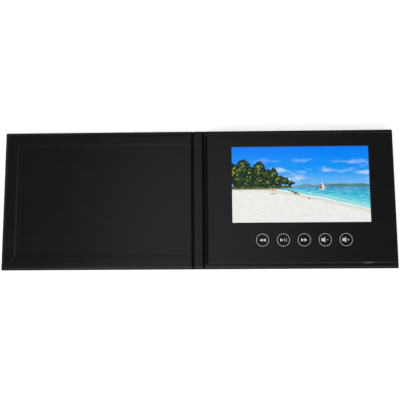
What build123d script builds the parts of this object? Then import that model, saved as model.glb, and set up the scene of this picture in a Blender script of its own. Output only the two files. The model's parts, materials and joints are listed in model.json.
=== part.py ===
from build123d import *
import os

# Video brochure: a hard case bound book lying open and flat. The left half is the front
# cover, the right half is the back cover with an electronics block glued on it.
# X runs along the open case, Y up the page, Z up from the table. The origin is at the
# middle of the spine, on the table. Every size is in millimetres.

# Block on the back cover: its plan is the screen and the button row with these margins
screen_side_margin = 27.96
screen_far_margin = 15.54
screen_rise = 19.74
button_row_rise = 26.0
under_screen_gap = 0.85
block_corner = 2.0
block_edge = 1.5
block_floor_thickness = 1.0
face_thickness = 1.0

# Case: boards, the sheet that wraps them and the sheet that lines them
board_thickness = 2.0
wrap_thickness = 0.25
liner_thickness = 0.2
turn_in = 15.0
liner_margin = 2.0
case_corner = 1.2
head_square = 6.0
fore_square = 4.0
block_setback = 2.0
joint_gap = 4.0
crease_margin = 0.25
closing_clearance = 0.6

# Screen module, a standard seven inch panel
active_width = 154.08
active_depth = 85.92
lcd_side_border = 5.46
lcd_far_border = 4.6
lcd_near_border = 9.48
lcd_height = 3.2
lcd_sheet = 0.3
light_guide_height = 1.2
lcd_fit = 0.2
window_margin = 0.3

# Push buttons in a row under the screen
button_pitch = 23.05
button_row_shift = 2.0
button_diameter = 15.2
button_gap = 0.2
button_proud = 0.2
button_travel = 0.5
button_flange_width = 1.0
button_flange_height = 0.8
button_flange_gap = 0.1
button_round = 0.25
stem_diameter = 3.2
stem_gap = 0.2
stem_rest_gap = 0.3
switch_size = 6.0
switch_bore_depth = 1.8
press_clearance = 0.25

# Silver foil on each button: a ring and a symbol
foil_thickness = 0.05
ring_line = 0.4
ring_inset = 0.3
symbol_height = 3.6
symbol_width = 7.0
symbol_line = 0.5
sign_width = 2.2
horn_width = 4.2
neck_half = 1.6
horn_half = 3.1

# Button board, which reaches over the main board
button_board_end = 11.0
button_board_depth = 15.5
circuit_board_thickness = 1.0
board_overlap = 22.35

# Main board, in the corner next to the port
board_length = 55.0
board_past_buttons = 23.45
board_gap = 0.25
board_end_gap = 8.0
board_bed = 1.5

# Charging port in the near wall
port_from_end = 28.0
port_width = 7.5
port_depth = 5.6
port_height = 2.6
port_sheet = 0.3
port_tongue_width = 5.0
port_tongue_height = 0.7
port_cut_width = 12.0
port_cut_height = 6.0
port_cut_corner = 1.5
core_wall = 5.0

# Parts on the main board: size, and middle from the board's near right corner
processor_size = (14.0, 14.0, 1.4)
processor_spot = (13.0, 24.5)
coil_size = (6.0, 6.0, 2.6)
coil_spot = (27.0, 6.5)
sensor_size = (4.0, 3.0, 1.0)
sensor_spot = (3.5, 12.5)
lead_socket_size = (6.0, 6.0, 2.2)
speaker_socket_spot = (51.0, 6.5)

# The same, from the board's far right corner
memory_size = (18.0, 12.0, 1.2)
memory_spot = (41.0, 14.0)
flex_socket_size = (26.0, 4.0, 1.6)
flex_socket_spot = (16.0, 15.0)
battery_socket_spot = (51.0, 3.0)

# Header between the two boards
link_size = (10.0, 5.0)
link_height = 0.6
link_from_end = 6.0

# Screen cable
flex_width = 22.0
flex_thickness = 0.2
flex_bend = 1.0
flex_bond = 4.0
flex_slope = 3.5

# Battery, speaker and their leads
battery_size = (60.0, 50.0, 4.0)
battery_round = 1.6
battery_bay_gap = 1.0
battery_to_board = 26.0
battery_lead_offset = 10.0
battery_tape_thickness = 0.2
guard_size = (4.0, 16.0, 1.2)
lead_diameter = 1.2
lead_pitch = 2.0
lead_groove_width = 5.0
speaker_length = 34.0
speaker_depth = 20.0
speaker_height = 4.0
speaker_rim = 2.5
speaker_cone_height = 1.0
speaker_cone_gap = 0.1
speaker_cone_taper = 20
speaker_from_end = 8.0
speaker_bay_gap = 0.5

# Magnet in the front cover, over the sensor once the case is shut
magnet_diameter = 10.0
magnet_height = 1.8
magnet_gap = 0.1

# Heights: the block is as thick as the main board, its sockets and the screen module need
crease_height = 2 * wrap_thickness + liner_thickness
board_top = wrap_thickness + board_thickness
cover_thickness = board_top + wrap_thickness + liner_thickness
block_base = cover_thickness
floor_top = block_base + block_floor_thickness
board_base = floor_top + board_bed
board_surface = board_base + circuit_board_thickness
lcd_base = board_surface + lead_socket_size[2] + under_screen_gap
face_under = lcd_base + lcd_height
block_top = face_under + face_thickness + wrap_thickness
block_height = block_top - block_base

# Along X: shut, the spine stands up and holds the front cover just clear of the block
crease_distance = block_top + closing_clearance + cover_thickness - 2 * crease_height
crease_x = crease_distance / 2
board_start = crease_x + wrap_thickness + liner_thickness + crease_margin
spine_half = board_start - joint_gap
block_start = board_start + block_setback
block_length = active_width + 2 * screen_side_margin
block_end = block_start + block_length
block_middle = (block_start + block_end) / 2
case_end = block_end + fore_square
board_end = case_end - wrap_thickness
inner_end = case_end - turn_in
liner_end = case_end - liner_margin
pan_end = inner_end - liner_thickness

# Along Y
block_depth = button_row_rise + screen_rise + active_depth + screen_far_margin
case_half_depth = block_depth / 2 + head_square
board_half_depth = case_half_depth - wrap_thickness
inner_half_depth = case_half_depth - turn_in
liner_half_depth = case_half_depth - liner_margin
pan_half_depth = inner_half_depth - liner_thickness

# Screen places
button_y = -block_depth / 2 + button_row_rise
screen_near = button_y + screen_rise
screen_middle = (block_middle, screen_near + active_depth / 2)
window_width = active_width + 2 * window_margin
window_depth = active_depth + 2 * window_margin
lcd_width = active_width + 2 * lcd_side_border
lcd_depth = lcd_near_border + active_depth + lcd_far_border
lcd_middle = (block_middle, screen_near - lcd_near_border + lcd_depth / 2)

# Main board places
cavity_near = -block_depth / 2 + wrap_thickness + core_wall
board_near = cavity_near + board_gap
board_far = button_y + button_board_depth / 2 + board_past_buttons
board_depth = board_far - board_near
board_right = block_end - wrap_thickness - core_wall - board_end_gap
board_left = board_right - board_length
board_middle = ((board_left + board_right) / 2, (board_near + board_far) / 2)


# The middle of something on the main board, from the board's near or far right corner
def from_near_corner(spot):
    return (board_right - spot[0], board_near + spot[1])


def from_far_corner(spot):
    return (board_right - spot[0], board_far - spot[1])


port_x = block_end - port_from_end
port_z = board_surface + port_height / 2
sensor_middle = from_near_corner(sensor_spot)
speaker_socket_middle = from_near_corner(speaker_socket_spot)
battery_socket_middle = from_far_corner(battery_socket_spot)
flex_socket_middle = from_far_corner(flex_socket_spot)

# Button places
button_names = ["previous", "play", "next", "quieter", "louder"]
button_xs = [block_middle + button_row_shift + (index - 2) * button_pitch for index in range(5)]
button_radius = button_diameter / 2
button_top = block_top + button_proud
ring_outer_radius = button_radius - button_round - ring_inset
flange_top = face_under - button_flange_gap
flange_under = flange_top - button_flange_height
switch_top = flange_under - button_travel - press_clearance
button_board_base = board_surface + link_height
button_board_top = button_board_base + circuit_board_thickness
switch_height = switch_top - button_board_top
button_board_left = button_xs[0] - button_board_end
button_board_right = board_left + board_overlap
button_board_length = button_board_right - button_board_left
button_board_middle = ((button_board_left + button_board_right) / 2, button_y)

# Battery and speaker places
lead_z = board_surface + lead_socket_size[2] / 2
lead_floor = lead_z - lead_diameter / 2
battery_right = battery_socket_middle[0] - battery_to_board
battery_near = battery_socket_middle[1] - battery_lead_offset
battery_middle = (battery_right - battery_size[0] / 2, battery_near + battery_size[1] / 2)
guard_middle = (battery_right + guard_size[0] / 2, battery_socket_middle[1])
guard_base = lead_floor - guard_size[2]
speaker_left = block_start + wrap_thickness + speaker_from_end
speaker_middle = (speaker_left + speaker_length / 2, speaker_socket_middle[1])

# How boxes stand on the point that places them
from_low_x = (Align.MIN, Align.CENTER, Align.MIN)
from_floor = (Align.CENTER, Align.CENTER, Align.MIN)


# A slab lying across the case, the same each side of the XZ plane
def slab(x_min, x_max, half_depth, z_min, z_max, mode=Mode.ADD):
    with Locations((x_min, 0, z_min)):
        Box(x_max - x_min, 2 * half_depth, z_max - z_min, align=from_low_x, mode=mode)


# A plain rectangular piece standing on a given height
def brick(middle, size, z_min, mode=Mode.ADD):
    with Locations((middle[0], middle[1], z_min)):
        Box(size[0], size[1], size[2], align=from_floor, mode=mode)


# The block's outer form, drawn in by the same amount all round and at the top
def block_form(inset):
    with BuildPart() as form:
        with BuildSketch(Plane.XY.offset(block_base)):
            with Locations((block_middle, 0)):
                RectangleRounded(block_length - 2 * inset, block_depth - 2 * inset, block_corner - inset)
        extrude(amount=block_height - inset)
        fillet(form.faces().sort_by(Axis.Z)[-1].edges(), block_edge - inset)
    return form.part


# The plan of the screen window, widened by the same amount all round, cut or added over a height
def window_form(margin, z_min, z_max):
    with BuildPart() as form:
        brick(screen_middle, (window_width + 2 * margin, window_depth + 2 * margin, z_max - z_min), z_min)
    return form.part


os.makedirs("parts", exist_ok=True)


def save(piece, name):
    piece.part.label = name
    export_step(piece.part, "parts/" + name + ".step")


# Back cover: board, wrap turned in over three edges, and liner
with BuildPart() as back_board:
    slab(board_start, board_end, board_half_depth, wrap_thickness, board_top)
    fillet(back_board.edges().filter_by(Axis.Z).group_by(Axis.X)[-1], case_corner - wrap_thickness)

with BuildPart() as back_wrap:
    slab(board_start - wrap_thickness, case_end, case_half_depth, 0, board_top + wrap_thickness)
    fillet(back_wrap.edges().filter_by(Axis.Z).group_by(Axis.X)[-1], case_corner)
    slab(crease_x, board_start, case_half_depth, 0, 2 * wrap_thickness)
    add(back_board.part, mode=Mode.SUBTRACT)
    slab(crease_x, inner_end, inner_half_depth, wrap_thickness, cover_thickness, Mode.SUBTRACT)

with BuildPart() as back_liner:
    wall_start = board_start - wrap_thickness - liner_thickness
    slab(wall_start, liner_end, liner_half_depth, 0, cover_thickness)
    slab(crease_x, board_start, liner_half_depth, 0, crease_height)
    slab(crease_x, pan_end, pan_half_depth, 0, cover_thickness, Mode.SUBTRACT)
    slab(board_start - liner_thickness, pan_end, pan_half_depth, 0, board_top + liner_thickness)
    slab(crease_x, board_start, pan_half_depth, 0, wrap_thickness + liner_thickness)
    add(back_board.part, mode=Mode.SUBTRACT)
    add(back_wrap.part, mode=Mode.SUBTRACT)

# Front cover: the back cover's mirror image, with a magnet let into its board
with BuildPart() as front_board:
    mirror(back_board.part, about=Plane.YZ)
    with Locations((-sensor_middle[0], sensor_middle[1], board_top)):
        Hole(magnet_diameter / 2 + magnet_gap, magnet_height)

with BuildPart() as front_wrap:
    mirror(back_wrap.part, about=Plane.YZ)

with BuildPart() as front_liner:
    mirror(back_liner.part, about=Plane.YZ)

with BuildPart() as cover_magnet:
    with BuildSketch(Plane.XY.offset(board_top - magnet_height)):
        with Locations((-sensor_middle[0], sensor_middle[1])):
            Circle(magnet_diameter / 2)
    extrude(amount=magnet_height)

# Spine: board, and the strip of wrap and liner that reaches both creases
with BuildPart() as spine_board:
    slab(-spine_half, spine_half, board_half_depth, wrap_thickness, board_top)

with BuildPart() as spine_wrap:
    hump_half = spine_half + wrap_thickness
    slab(-hump_half, hump_half, case_half_depth, 0, board_top + wrap_thickness)
    slab(-crease_x, crease_x, case_half_depth, 0, 2 * wrap_thickness)
    add(spine_board.part, mode=Mode.SUBTRACT)
    slab(-crease_x, crease_x, inner_half_depth, wrap_thickness, cover_thickness, Mode.SUBTRACT)

with BuildPart() as spine_liner:
    margin_half = spine_half + wrap_thickness + liner_thickness
    middle_half = spine_half + liner_thickness
    slab(-margin_half, margin_half, liner_half_depth, 0, cover_thickness)
    slab(-crease_x, crease_x, liner_half_depth, 0, crease_height)
    slab(-crease_x, crease_x, pan_half_depth, 0, cover_thickness, Mode.SUBTRACT)
    slab(-middle_half, middle_half, pan_half_depth, 0, board_top + liner_thickness)
    slab(-crease_x, crease_x, pan_half_depth, 0, wrap_thickness + liner_thickness)
    add(spine_board.part, mode=Mode.SUBTRACT)
    add(spine_wrap.part, mode=Mode.SUBTRACT)

# Adhesive sheet that fills the pan of the back liner and holds the block
with BuildPart() as block_adhesive:
    slab(block_start, pan_end, pan_half_depth, board_top + liner_thickness, block_base)

# Block: floor card, core with its pockets, face board and the sheet that wraps them
block_outer = block_form(0)
block_inner = block_form(wrap_thickness)
window_lining = window_form(wrap_thickness, face_under, block_top - wrap_thickness)
window_opening = window_form(0, lcd_base, block_top)

with BuildPart() as port_cut:
    with BuildSketch(Plane.XZ.offset(block_depth / 2)):
        with Locations((port_x, port_z)):
            RectangleRounded(port_cut_width, port_cut_height, port_cut_corner)
    extrude(amount=-(wrap_thickness + core_wall))

with BuildPart() as button_holes:
    with BuildSketch(Plane.XY.offset(face_under)):
        with Locations(*[(x, button_y) for x in button_xs]):
            Circle(button_radius + button_gap)
    extrude(amount=block_top - face_under)

with BuildPart() as block_wrap:
    add(block_outer)
    add(block_inner, mode=Mode.SUBTRACT)
    add(window_lining)
    add(window_opening, mode=Mode.SUBTRACT)
    add(button_holes.part, mode=Mode.SUBTRACT)
    add(port_cut.part, mode=Mode.SUBTRACT)

with BuildPart() as face_board:
    add(block_inner)
    slab(block_start, block_end, block_depth / 2, block_base, face_under, Mode.SUBTRACT)
    add(window_lining, mode=Mode.SUBTRACT)
    add(button_holes.part, mode=Mode.SUBTRACT)

with BuildPart() as block_floor:
    add(block_inner)
    slab(block_start, block_end, block_depth / 2, floor_top, block_top, Mode.SUBTRACT)

battery_bay = [size + 2 * battery_bay_gap for size in battery_size[:2]]
speaker_bay = (speaker_length + 2 * speaker_bay_gap, speaker_depth + 2 * speaker_bay_gap)
lcd_pocket = (lcd_width + 2 * lcd_fit, lcd_depth + 2 * lcd_fit)
button_pocket = (button_board_length + 2 * board_gap, button_board_depth + 2 * board_gap)
core_height = face_under - floor_top
board_pocket_depth = board_depth + 2 * board_gap

with BuildPart() as block_core:
    add(block_inner)
    slab(block_start, block_end, block_depth / 2, block_base, floor_top, Mode.SUBTRACT)
    slab(block_start, block_end, block_depth / 2, face_under, block_top, Mode.SUBTRACT)
    # Pockets from the top: screen, button board, main board
    brick(lcd_middle, (*lcd_pocket, lcd_height), lcd_base, Mode.SUBTRACT)
    brick(button_board_middle, (*button_pocket, core_height), button_board_base, Mode.SUBTRACT)
    board_pocket = (board_length + 2 * board_gap, board_pocket_depth, core_height)
    board_pocket_middle = (board_middle[0], cavity_near + board_pocket_depth / 2)
    brick(board_pocket_middle, board_pocket, board_base, Mode.SUBTRACT)
    # Bays through to the floor: battery and speaker
    brick(battery_middle, (*battery_bay, core_height), floor_top, Mode.SUBTRACT)
    brick(speaker_middle, (*speaker_bay, core_height), floor_top, Mode.SUBTRACT)
    # Grooves for the leads
    for start, end in [(battery_middle, battery_socket_middle), (speaker_middle, speaker_socket_middle)]:
        groove_middle = ((start[0] + end[0]) / 2, end[1])
        brick(groove_middle, (end[0] - start[0], lead_groove_width, core_height), lead_floor, Mode.SUBTRACT)
    # Room for the battery's guard board, and for the button flanges over their travel
    guard_pocket = (guard_size[0] + 2 * board_gap, guard_size[1] + 2 * board_gap, core_height)
    brick(guard_middle, guard_pocket, guard_base, Mode.SUBTRACT)
    with BuildSketch(Plane.XY.offset(switch_top)):
        with Locations(*[(x, button_y) for x in button_xs]):
            Circle(button_radius + button_flange_width + button_gap)
    extrude(amount=core_height, mode=Mode.SUBTRACT)
    add(port_cut.part, mode=Mode.SUBTRACT)

# Screen module: back plate, light guide, glass and steel bezel
glass_base = lcd_base + lcd_sheet + light_guide_height
inner_lcd_size = (lcd_width - 2 * lcd_sheet, lcd_depth - 2 * lcd_sheet)

with BuildPart() as lcd_back_plate:
    brick(lcd_middle, (*inner_lcd_size, lcd_sheet), lcd_base)

with BuildPart() as light_guide:
    brick(lcd_middle, (*inner_lcd_size, light_guide_height), lcd_base + lcd_sheet)

with BuildPart() as lcd_glass:
    brick(lcd_middle, (*inner_lcd_size, face_under - lcd_sheet - glass_base), glass_base)

with BuildPart() as lcd_bezel:
    brick(lcd_middle, (lcd_width, lcd_depth, lcd_height), lcd_base)
    brick(lcd_middle, (*inner_lcd_size, lcd_height - lcd_sheet), lcd_base, Mode.SUBTRACT)
    add(window_opening, mode=Mode.SUBTRACT)

# Screen cable: bonded under the back plate, then down into its socket
flex_top = lcd_base - flex_thickness / 2
flex_low = board_surface + flex_socket_size[2] / 2
flex_end = flex_socket_middle[1] + flex_socket_size[1] / 2
flex_points = [
    (flex_end + flex_slope + 2 * flex_bond, flex_top),
    (flex_end + flex_slope + flex_bond, flex_top),
    (flex_end + flex_slope / 2, flex_low),
    (flex_end, flex_low),
]

with BuildPart() as lcd_flex:
    with BuildSketch(Plane.YZ.offset(flex_socket_middle[0])):
        with BuildLine():
            FilletPolyline(*flex_points, radius=flex_bend)
        trace(line_width=flex_thickness)
    extrude(amount=flex_width / 2, both=True)

# Main board and what is soldered on it
with BuildPart() as main_board:
    brick(board_middle, (board_length, board_depth, circuit_board_thickness), board_base)

with BuildPart() as video_processor:
    brick(from_near_corner(processor_spot), processor_size, board_surface)

with BuildPart() as memory_chip:
    brick(from_far_corner(memory_spot), memory_size, board_surface)

with BuildPart() as power_coil:
    brick(from_near_corner(coil_spot), coil_size, board_surface)

with BuildPart() as cover_sensor:
    brick(sensor_middle, sensor_size, board_surface)

with BuildPart() as flex_socket:
    brick(flex_socket_middle, flex_socket_size, board_surface)

with BuildPart() as battery_socket:
    brick(battery_socket_middle, lead_socket_size, board_surface)

with BuildPart() as speaker_socket:
    brick(speaker_socket_middle, lead_socket_size, board_surface)

# Header that joins the button board, above, to the main board
with BuildPart() as board_link:
    link_x = button_board_right - link_from_end
    brick((link_x, button_y), (*link_size, link_height), board_surface)

# Charging port: a folded steel shell with a tongue, its mouth in the wall's cut-out
port_plane = Plane.XZ.offset(-cavity_near)

with BuildPart() as port_shell:
    with BuildSketch(port_plane):
        with Locations((port_x, port_z)):
            Rectangle(port_width, port_height)
    extrude(amount=-port_depth)
    offset(amount=-port_sheet, openings=port_shell.faces().sort_by(Axis.Y)[0])

with BuildPart() as port_tongue:
    with BuildSketch(port_plane.offset(-port_sheet)):
        with Locations((port_x, port_z)):
            Rectangle(port_tongue_width, port_tongue_height)
    extrude(amount=-(port_depth - 2 * port_sheet))

# Battery on its tape, with a guard board and two leads
with BuildPart() as battery_tape:
    brick(battery_middle, (battery_size[0], battery_size[1], battery_tape_thickness), floor_top)

battery_base = floor_top + battery_tape_thickness

with BuildPart() as battery_cell:
    brick(battery_middle, battery_size, battery_base)
    fillet(battery_cell.edges().filter_by(Axis.Y), battery_round)

with BuildPart() as battery_guard:
    brick(guard_middle, guard_size, guard_base)


# A straight lead in its groove, from one x to another
def lead(x_start, x_end, y):
    with Locations((x_start, y, lead_z)):
        Cylinder(lead_diameter / 2, x_end - x_start, rotation=(0, 90, 0), align=from_floor)


battery_lead_end = battery_socket_middle[0] - lead_socket_size[0] / 2
speaker_lead_end = speaker_socket_middle[0] - lead_socket_size[0] / 2

with BuildPart() as battery_lead_positive:
    lead(battery_right, battery_lead_end, battery_socket_middle[1] + lead_pitch / 2)

with BuildPart() as battery_lead_negative:
    lead(battery_right, battery_lead_end, battery_socket_middle[1] - lead_pitch / 2)

# Speaker: basket, cone and a pair of leads
with BuildPart() as speaker_basket:
    brick(speaker_middle, (speaker_length, speaker_depth, speaker_height), floor_top)
    with BuildSketch(Plane.XY.offset(floor_top + speaker_height)):
        with Locations(speaker_middle):
            SlotOverall(speaker_length - 2 * speaker_rim, speaker_depth - 2 * speaker_rim)
    extrude(amount=-speaker_cone_height, mode=Mode.SUBTRACT)

cone_margin = speaker_rim + speaker_cone_gap

with BuildPart() as speaker_cone:
    with BuildSketch(Plane.XY.offset(floor_top + speaker_height - speaker_cone_height)):
        with Locations(speaker_middle):
            SlotOverall(speaker_length - 2 * cone_margin, speaker_depth - 2 * cone_margin)
    extrude(amount=speaker_cone_height, taper=speaker_cone_taper)

with BuildPart() as speaker_leads:
    for side in (-1, 1):
        lead_start = speaker_left + speaker_length
        lead(lead_start, speaker_lead_end, speaker_socket_middle[1] + side * lead_pitch / 2)

# Button board
with BuildPart() as button_board:
    button_board_size = (button_board_length, button_board_depth, circuit_board_thickness)
    brick(button_board_middle, button_board_size, button_board_base)


# A pointer of a symbol, with its tip on the active sketch's X axis
def pointer(tip, length):
    back = tip - length
    Polygon((tip, 0), (back, symbol_height / 2), (back, -symbol_height / 2), align=None)


# A speaker seen from the side: its magnet, then its horn
def speaker_symbol():
    left, neck = -horn_width, -horn_width / 2
    Polygon((left, neck_half), (neck, neck_half), (neck, -neck_half), (left, -neck_half), align=None)
    Polygon((neck, neck_half), (0, horn_half), (0, -horn_half), (neck, -neck_half), align=None)


# The symbol of a button, drawn round the middle of the active sketch
def symbol(name):
    half = symbol_width / 2
    if name == "previous":
        pointer(-half, -half)
        pointer(0, -half)
    elif name == "next":
        pointer(0, half)
        pointer(half, half)
    elif name == "play":
        pointer(0, half)
        with Locations((half / 3, 0), (half - symbol_line / 2, 0)):
            Rectangle(symbol_line, symbol_height)
    else:
        speaker_symbol()
        with Locations((half - sign_width / 2, 0)):
            Rectangle(sign_width, symbol_line)
            if name == "louder":
                Rectangle(symbol_line, sign_width)


# A button: cap with flange and stem
def button_cap(x):
    with BuildPart() as cap:
        with BuildSketch(Plane.XY.offset(flange_under)):
            with Locations((x, button_y)):
                Circle(button_radius + button_flange_width)
        extrude(amount=button_flange_height)
        with BuildSketch(Plane.XY.offset(flange_top)):
            with Locations((x, button_y)):
                Circle(button_radius)
        extrude(amount=button_top - flange_top)
        fillet(cap.faces().sort_by(Axis.Z)[-1].edges(), button_round)
        stem_end = switch_top - switch_bore_depth + button_travel + stem_rest_gap
        with BuildSketch(Plane.XY.offset(stem_end)):
            with Locations((x, button_y)):
                Circle(stem_diameter / 2)
        extrude(amount=flange_under - stem_end)
    return cap


# The foil ring and symbol on a button
def button_foil(x, name):
    with BuildPart() as foil:
        with BuildSketch(Plane(origin=(x, button_y, button_top))):
            Circle(ring_outer_radius)
            Circle(ring_outer_radius - ring_line, mode=Mode.SUBTRACT)
            symbol(name)
        extrude(amount=foil_thickness)
    return foil


# The switch under a button, hollow where the stem enters
def button_switch(x):
    with BuildPart() as switch:
        brick((x, button_y), (switch_size, switch_size, switch_height), button_board_top)
        with Locations((x, button_y, switch_top)):
            Hole(stem_diameter / 2 + stem_gap, switch_bore_depth)
    return switch


for name, x in zip(button_names, button_xs):
    save(button_cap(x), "button_" + name)
    save(button_foil(x, name), "foil_" + name)
    save(button_switch(x), "switch_" + name)

save(back_board, "back_board")
save(back_wrap, "back_wrap")
save(back_liner, "back_liner")
save(front_board, "front_board")
save(front_wrap, "front_wrap")
save(front_liner, "front_liner")
save(cover_magnet, "cover_magnet")
save(spine_board, "spine_board")
save(spine_wrap, "spine_wrap")
save(spine_liner, "spine_liner")
save(block_adhesive, "block_adhesive")
save(block_floor, "block_floor")
save(block_core, "block_core")
save(face_board, "face_board")
save(block_wrap, "block_wrap")
save(lcd_back_plate, "lcd_back_plate")
save(light_guide, "light_guide")
save(lcd_glass, "lcd_glass")
save(lcd_bezel, "lcd_bezel")
save(lcd_flex, "lcd_flex")
save(main_board, "main_board")
save(video_processor, "video_processor")
save(memory_chip, "memory_chip")
save(power_coil, "power_coil")
save(cover_sensor, "cover_sensor")
save(flex_socket, "flex_socket")
save(battery_socket, "battery_socket")
save(speaker_socket, "speaker_socket")
save(board_link, "board_link")
save(port_shell, "port_shell")
save(port_tongue, "port_tongue")
save(battery_tape, "battery_tape")
save(battery_cell, "battery_cell")
save(battery_guard, "battery_guard")
save(battery_lead_positive, "battery_lead_positive")
save(battery_lead_negative, "battery_lead_negative")
save(speaker_basket, "speaker_basket")
save(speaker_cone, "speaker_cone")
save(speaker_leads, "speaker_leads")
save(button_board, "button_board")
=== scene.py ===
import bmesh
import bpy
import json
import math
import random
from mathutils import Matrix, Vector, geometry, noise


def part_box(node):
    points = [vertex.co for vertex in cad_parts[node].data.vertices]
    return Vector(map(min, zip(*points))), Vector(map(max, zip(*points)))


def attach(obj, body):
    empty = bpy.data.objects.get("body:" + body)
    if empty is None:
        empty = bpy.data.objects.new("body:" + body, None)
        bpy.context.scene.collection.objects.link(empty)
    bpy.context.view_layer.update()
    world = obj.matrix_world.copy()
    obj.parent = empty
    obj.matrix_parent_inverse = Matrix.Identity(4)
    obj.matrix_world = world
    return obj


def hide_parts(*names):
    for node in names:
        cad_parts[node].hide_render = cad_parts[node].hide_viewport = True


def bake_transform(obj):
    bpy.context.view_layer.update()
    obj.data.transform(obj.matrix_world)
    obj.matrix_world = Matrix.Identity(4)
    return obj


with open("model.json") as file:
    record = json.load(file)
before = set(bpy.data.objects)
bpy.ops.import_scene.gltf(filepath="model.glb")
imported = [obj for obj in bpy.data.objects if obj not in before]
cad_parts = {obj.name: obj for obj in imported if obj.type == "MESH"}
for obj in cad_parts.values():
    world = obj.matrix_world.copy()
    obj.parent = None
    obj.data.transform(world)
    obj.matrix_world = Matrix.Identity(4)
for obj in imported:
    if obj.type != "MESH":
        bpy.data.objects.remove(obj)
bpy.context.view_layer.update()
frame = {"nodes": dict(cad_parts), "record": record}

nodes = frame["nodes"]
mm = 0.001               # every length below is in millimetres until it goes into a mesh
print("frame loaded:", len(nodes), "nodes")


def boxOf(node):
    low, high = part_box(node)
    return low / mm, high / mm


def clamp(value, low=0.0, high=1.0):
    return max(low, min(high, value))


def ease(value):
    value = clamp(value)
    return value * value * (3 - 2 * value)


def spread(start, end, count):
    # evenly spaced numbers after start, up to and including end
    return [start + (end - start) * (step + 1) / count for step in range(count)]


def makePiece(name, points, faces, flip=False):
    mesh = bpy.data.meshes.new(name)
    if flip:
        faces = [tuple(reversed(face)) for face in faces]
    mesh.from_pydata([Vector(point) * mm for point in points], [], faces)
    piece = bpy.data.objects.new(name, mesh)
    bpy.context.scene.collection.objects.link(piece)
    return piece


def thicken(piece, thickness):
    # gives a sheet its thickness on its inner side, and keeps the result as its mesh
    layer = piece.modifiers.new("sheet thickness", "SOLIDIFY")
    layer.thickness = thickness * mm
    layer.offset = -1
    bpy.context.view_layer.update()
    solid = bpy.data.meshes.new_from_object(piece.evaluated_get(bpy.context.evaluated_depsgraph_get()))
    piece.modifiers.clear()
    piece.data = solid


def smoothPiece(piece, angle=35):
    piece.data.polygons.foreach_set("use_smooth", [True] * len(piece.data.polygons))
    piece.data.set_sharp_from_angle(angle=math.radians(angle))


def faceOutward(piece):
    # turns every face of an open sheet the same way, with the top facing up
    form = bmesh.new()
    form.from_mesh(piece.data)
    bmesh.ops.recalc_face_normals(form, faces=form.faces)
    highest = max(form.faces, key=lambda face: face.calc_center_median().z * abs(face.normal.z))
    if highest.normal.z < 0:
        bmesh.ops.reverse_faces(form, faces=form.faces)
    form.to_mesh(piece.data)
    form.free()


def markSurface(piece, low, high, reach=1.0):
    # restSpot holds each point's place at rest, which the grain is drawn from, edgeRub says how near a point
    # is to an edge
    mesh = piece.data
    spots, rubs = [], []
    for vertex in mesh.vertices:
        spot = vertex.co / mm
        sideX = max(0.0, min(spot.x - low.x, high.x - spot.x))
        sideY = max(0.0, min(spot.y - low.y, high.y - spot.y))
        sideZ = max(0.0, min(spot.z - low.z, high.z - spot.z))
        nearest = min(math.hypot(min(sideX, sideY), sideZ), math.hypot(sideX, sideY))
        spots += vertex.co[:]
        rubs.append(clamp(1 - nearest / reach))
    mesh.attributes.new("restSpot", "FLOAT_VECTOR", "POINT").data.foreach_set("vector", spots)
    mesh.attributes.new("edgeRub", "FLOAT", "POINT").data.foreach_set("value", rubs)


def markPoints(piece, name, measure):
    # a number for each point of a piece, worked out from its place in millimetres
    values = [measure(*(vertex.co / mm)) for vertex in piece.data.vertices]
    piece.data.attributes.new(name, "FLOAT", "POINT").data.foreach_set("value", values)


def gridFaces(rows, columns):
    # faces of a grid of points stored row after row
    return [(row * columns + column, row * columns + column + 1,
             (row + 1) * columns + column + 1, (row + 1) * columns + column)
            for row in range(rows - 1) for column in range(columns - 1)]


def addNode(tree, kind, **settings):
    node = tree.nodes.new(kind)
    for key, value in settings.items():
        setattr(node, key, value)
    return node


def feed(tree, value, socket):
    if isinstance(value, bpy.types.NodeSocket):
        tree.links.new(value, socket)
    else:
        socket.default_value = value


def maths(tree, operation, first, second=None, third=None, clamped=False):
    node = addNode(tree, "ShaderNodeMath", operation=operation, use_clamp=clamped)
    for value, socket in zip((first, second, third), node.inputs):
        if value is not None:
            feed(tree, value, socket)
    return node.outputs[0]


def vectorMaths(tree, operation, first, second):
    node = addNode(tree, "ShaderNodeVectorMath", operation=operation)
    feed(tree, first, node.inputs[0])
    feed(tree, second, node.inputs[1])
    return node.outputs[0]


def remap(tree, value, fromLow, fromHigh, toLow=0.0, toHigh=1.0, smooth=False):
    node = addNode(tree, "ShaderNodeMapRange", clamp=True,
                   interpolation_type="SMOOTHSTEP" if smooth else "LINEAR")
    for item, number in zip((value, fromLow, fromHigh, toLow, toHigh), node.inputs):
        feed(tree, item, number)
    return node.outputs[0]


def mixColours(tree, share, first, second, way="MIX"):
    node = addNode(tree, "ShaderNodeMix", data_type="RGBA", blend_type=way)
    feed(tree, share, node.inputs["Factor"])
    feed(tree, first if isinstance(first, bpy.types.NodeSocket) else (*first, 1), node.inputs[6])
    feed(tree, second if isinstance(second, bpy.types.NodeSocket) else (*second, 1), node.inputs[7])
    return node.outputs[2]


def noiseOf(tree, place, scale, detail=2.0, roughness=0.5):
    node = addNode(tree, "ShaderNodeTexNoise")
    feed(tree, place, node.inputs["Vector"])
    feed(tree, scale, node.inputs["Scale"])
    feed(tree, detail, node.inputs["Detail"])
    feed(tree, roughness, node.inputs["Roughness"])
    return node.outputs["Fac"]


def newGroup(name, inputs, outputs):
    group = bpy.data.node_groups.new(name, "ShaderNodeTree")
    for label, kind, value in inputs:
        socket = group.interface.new_socket(label, in_out="INPUT", socket_type=kind)
        if value is not None:
            socket.default_value = value
    for label, kind in outputs:
        group.interface.new_socket(label, in_out="OUTPUT", socket_type=kind)
    return group, addNode(group, "NodeGroupInput").outputs, addNode(group, "NodeGroupOutput").inputs


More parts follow.
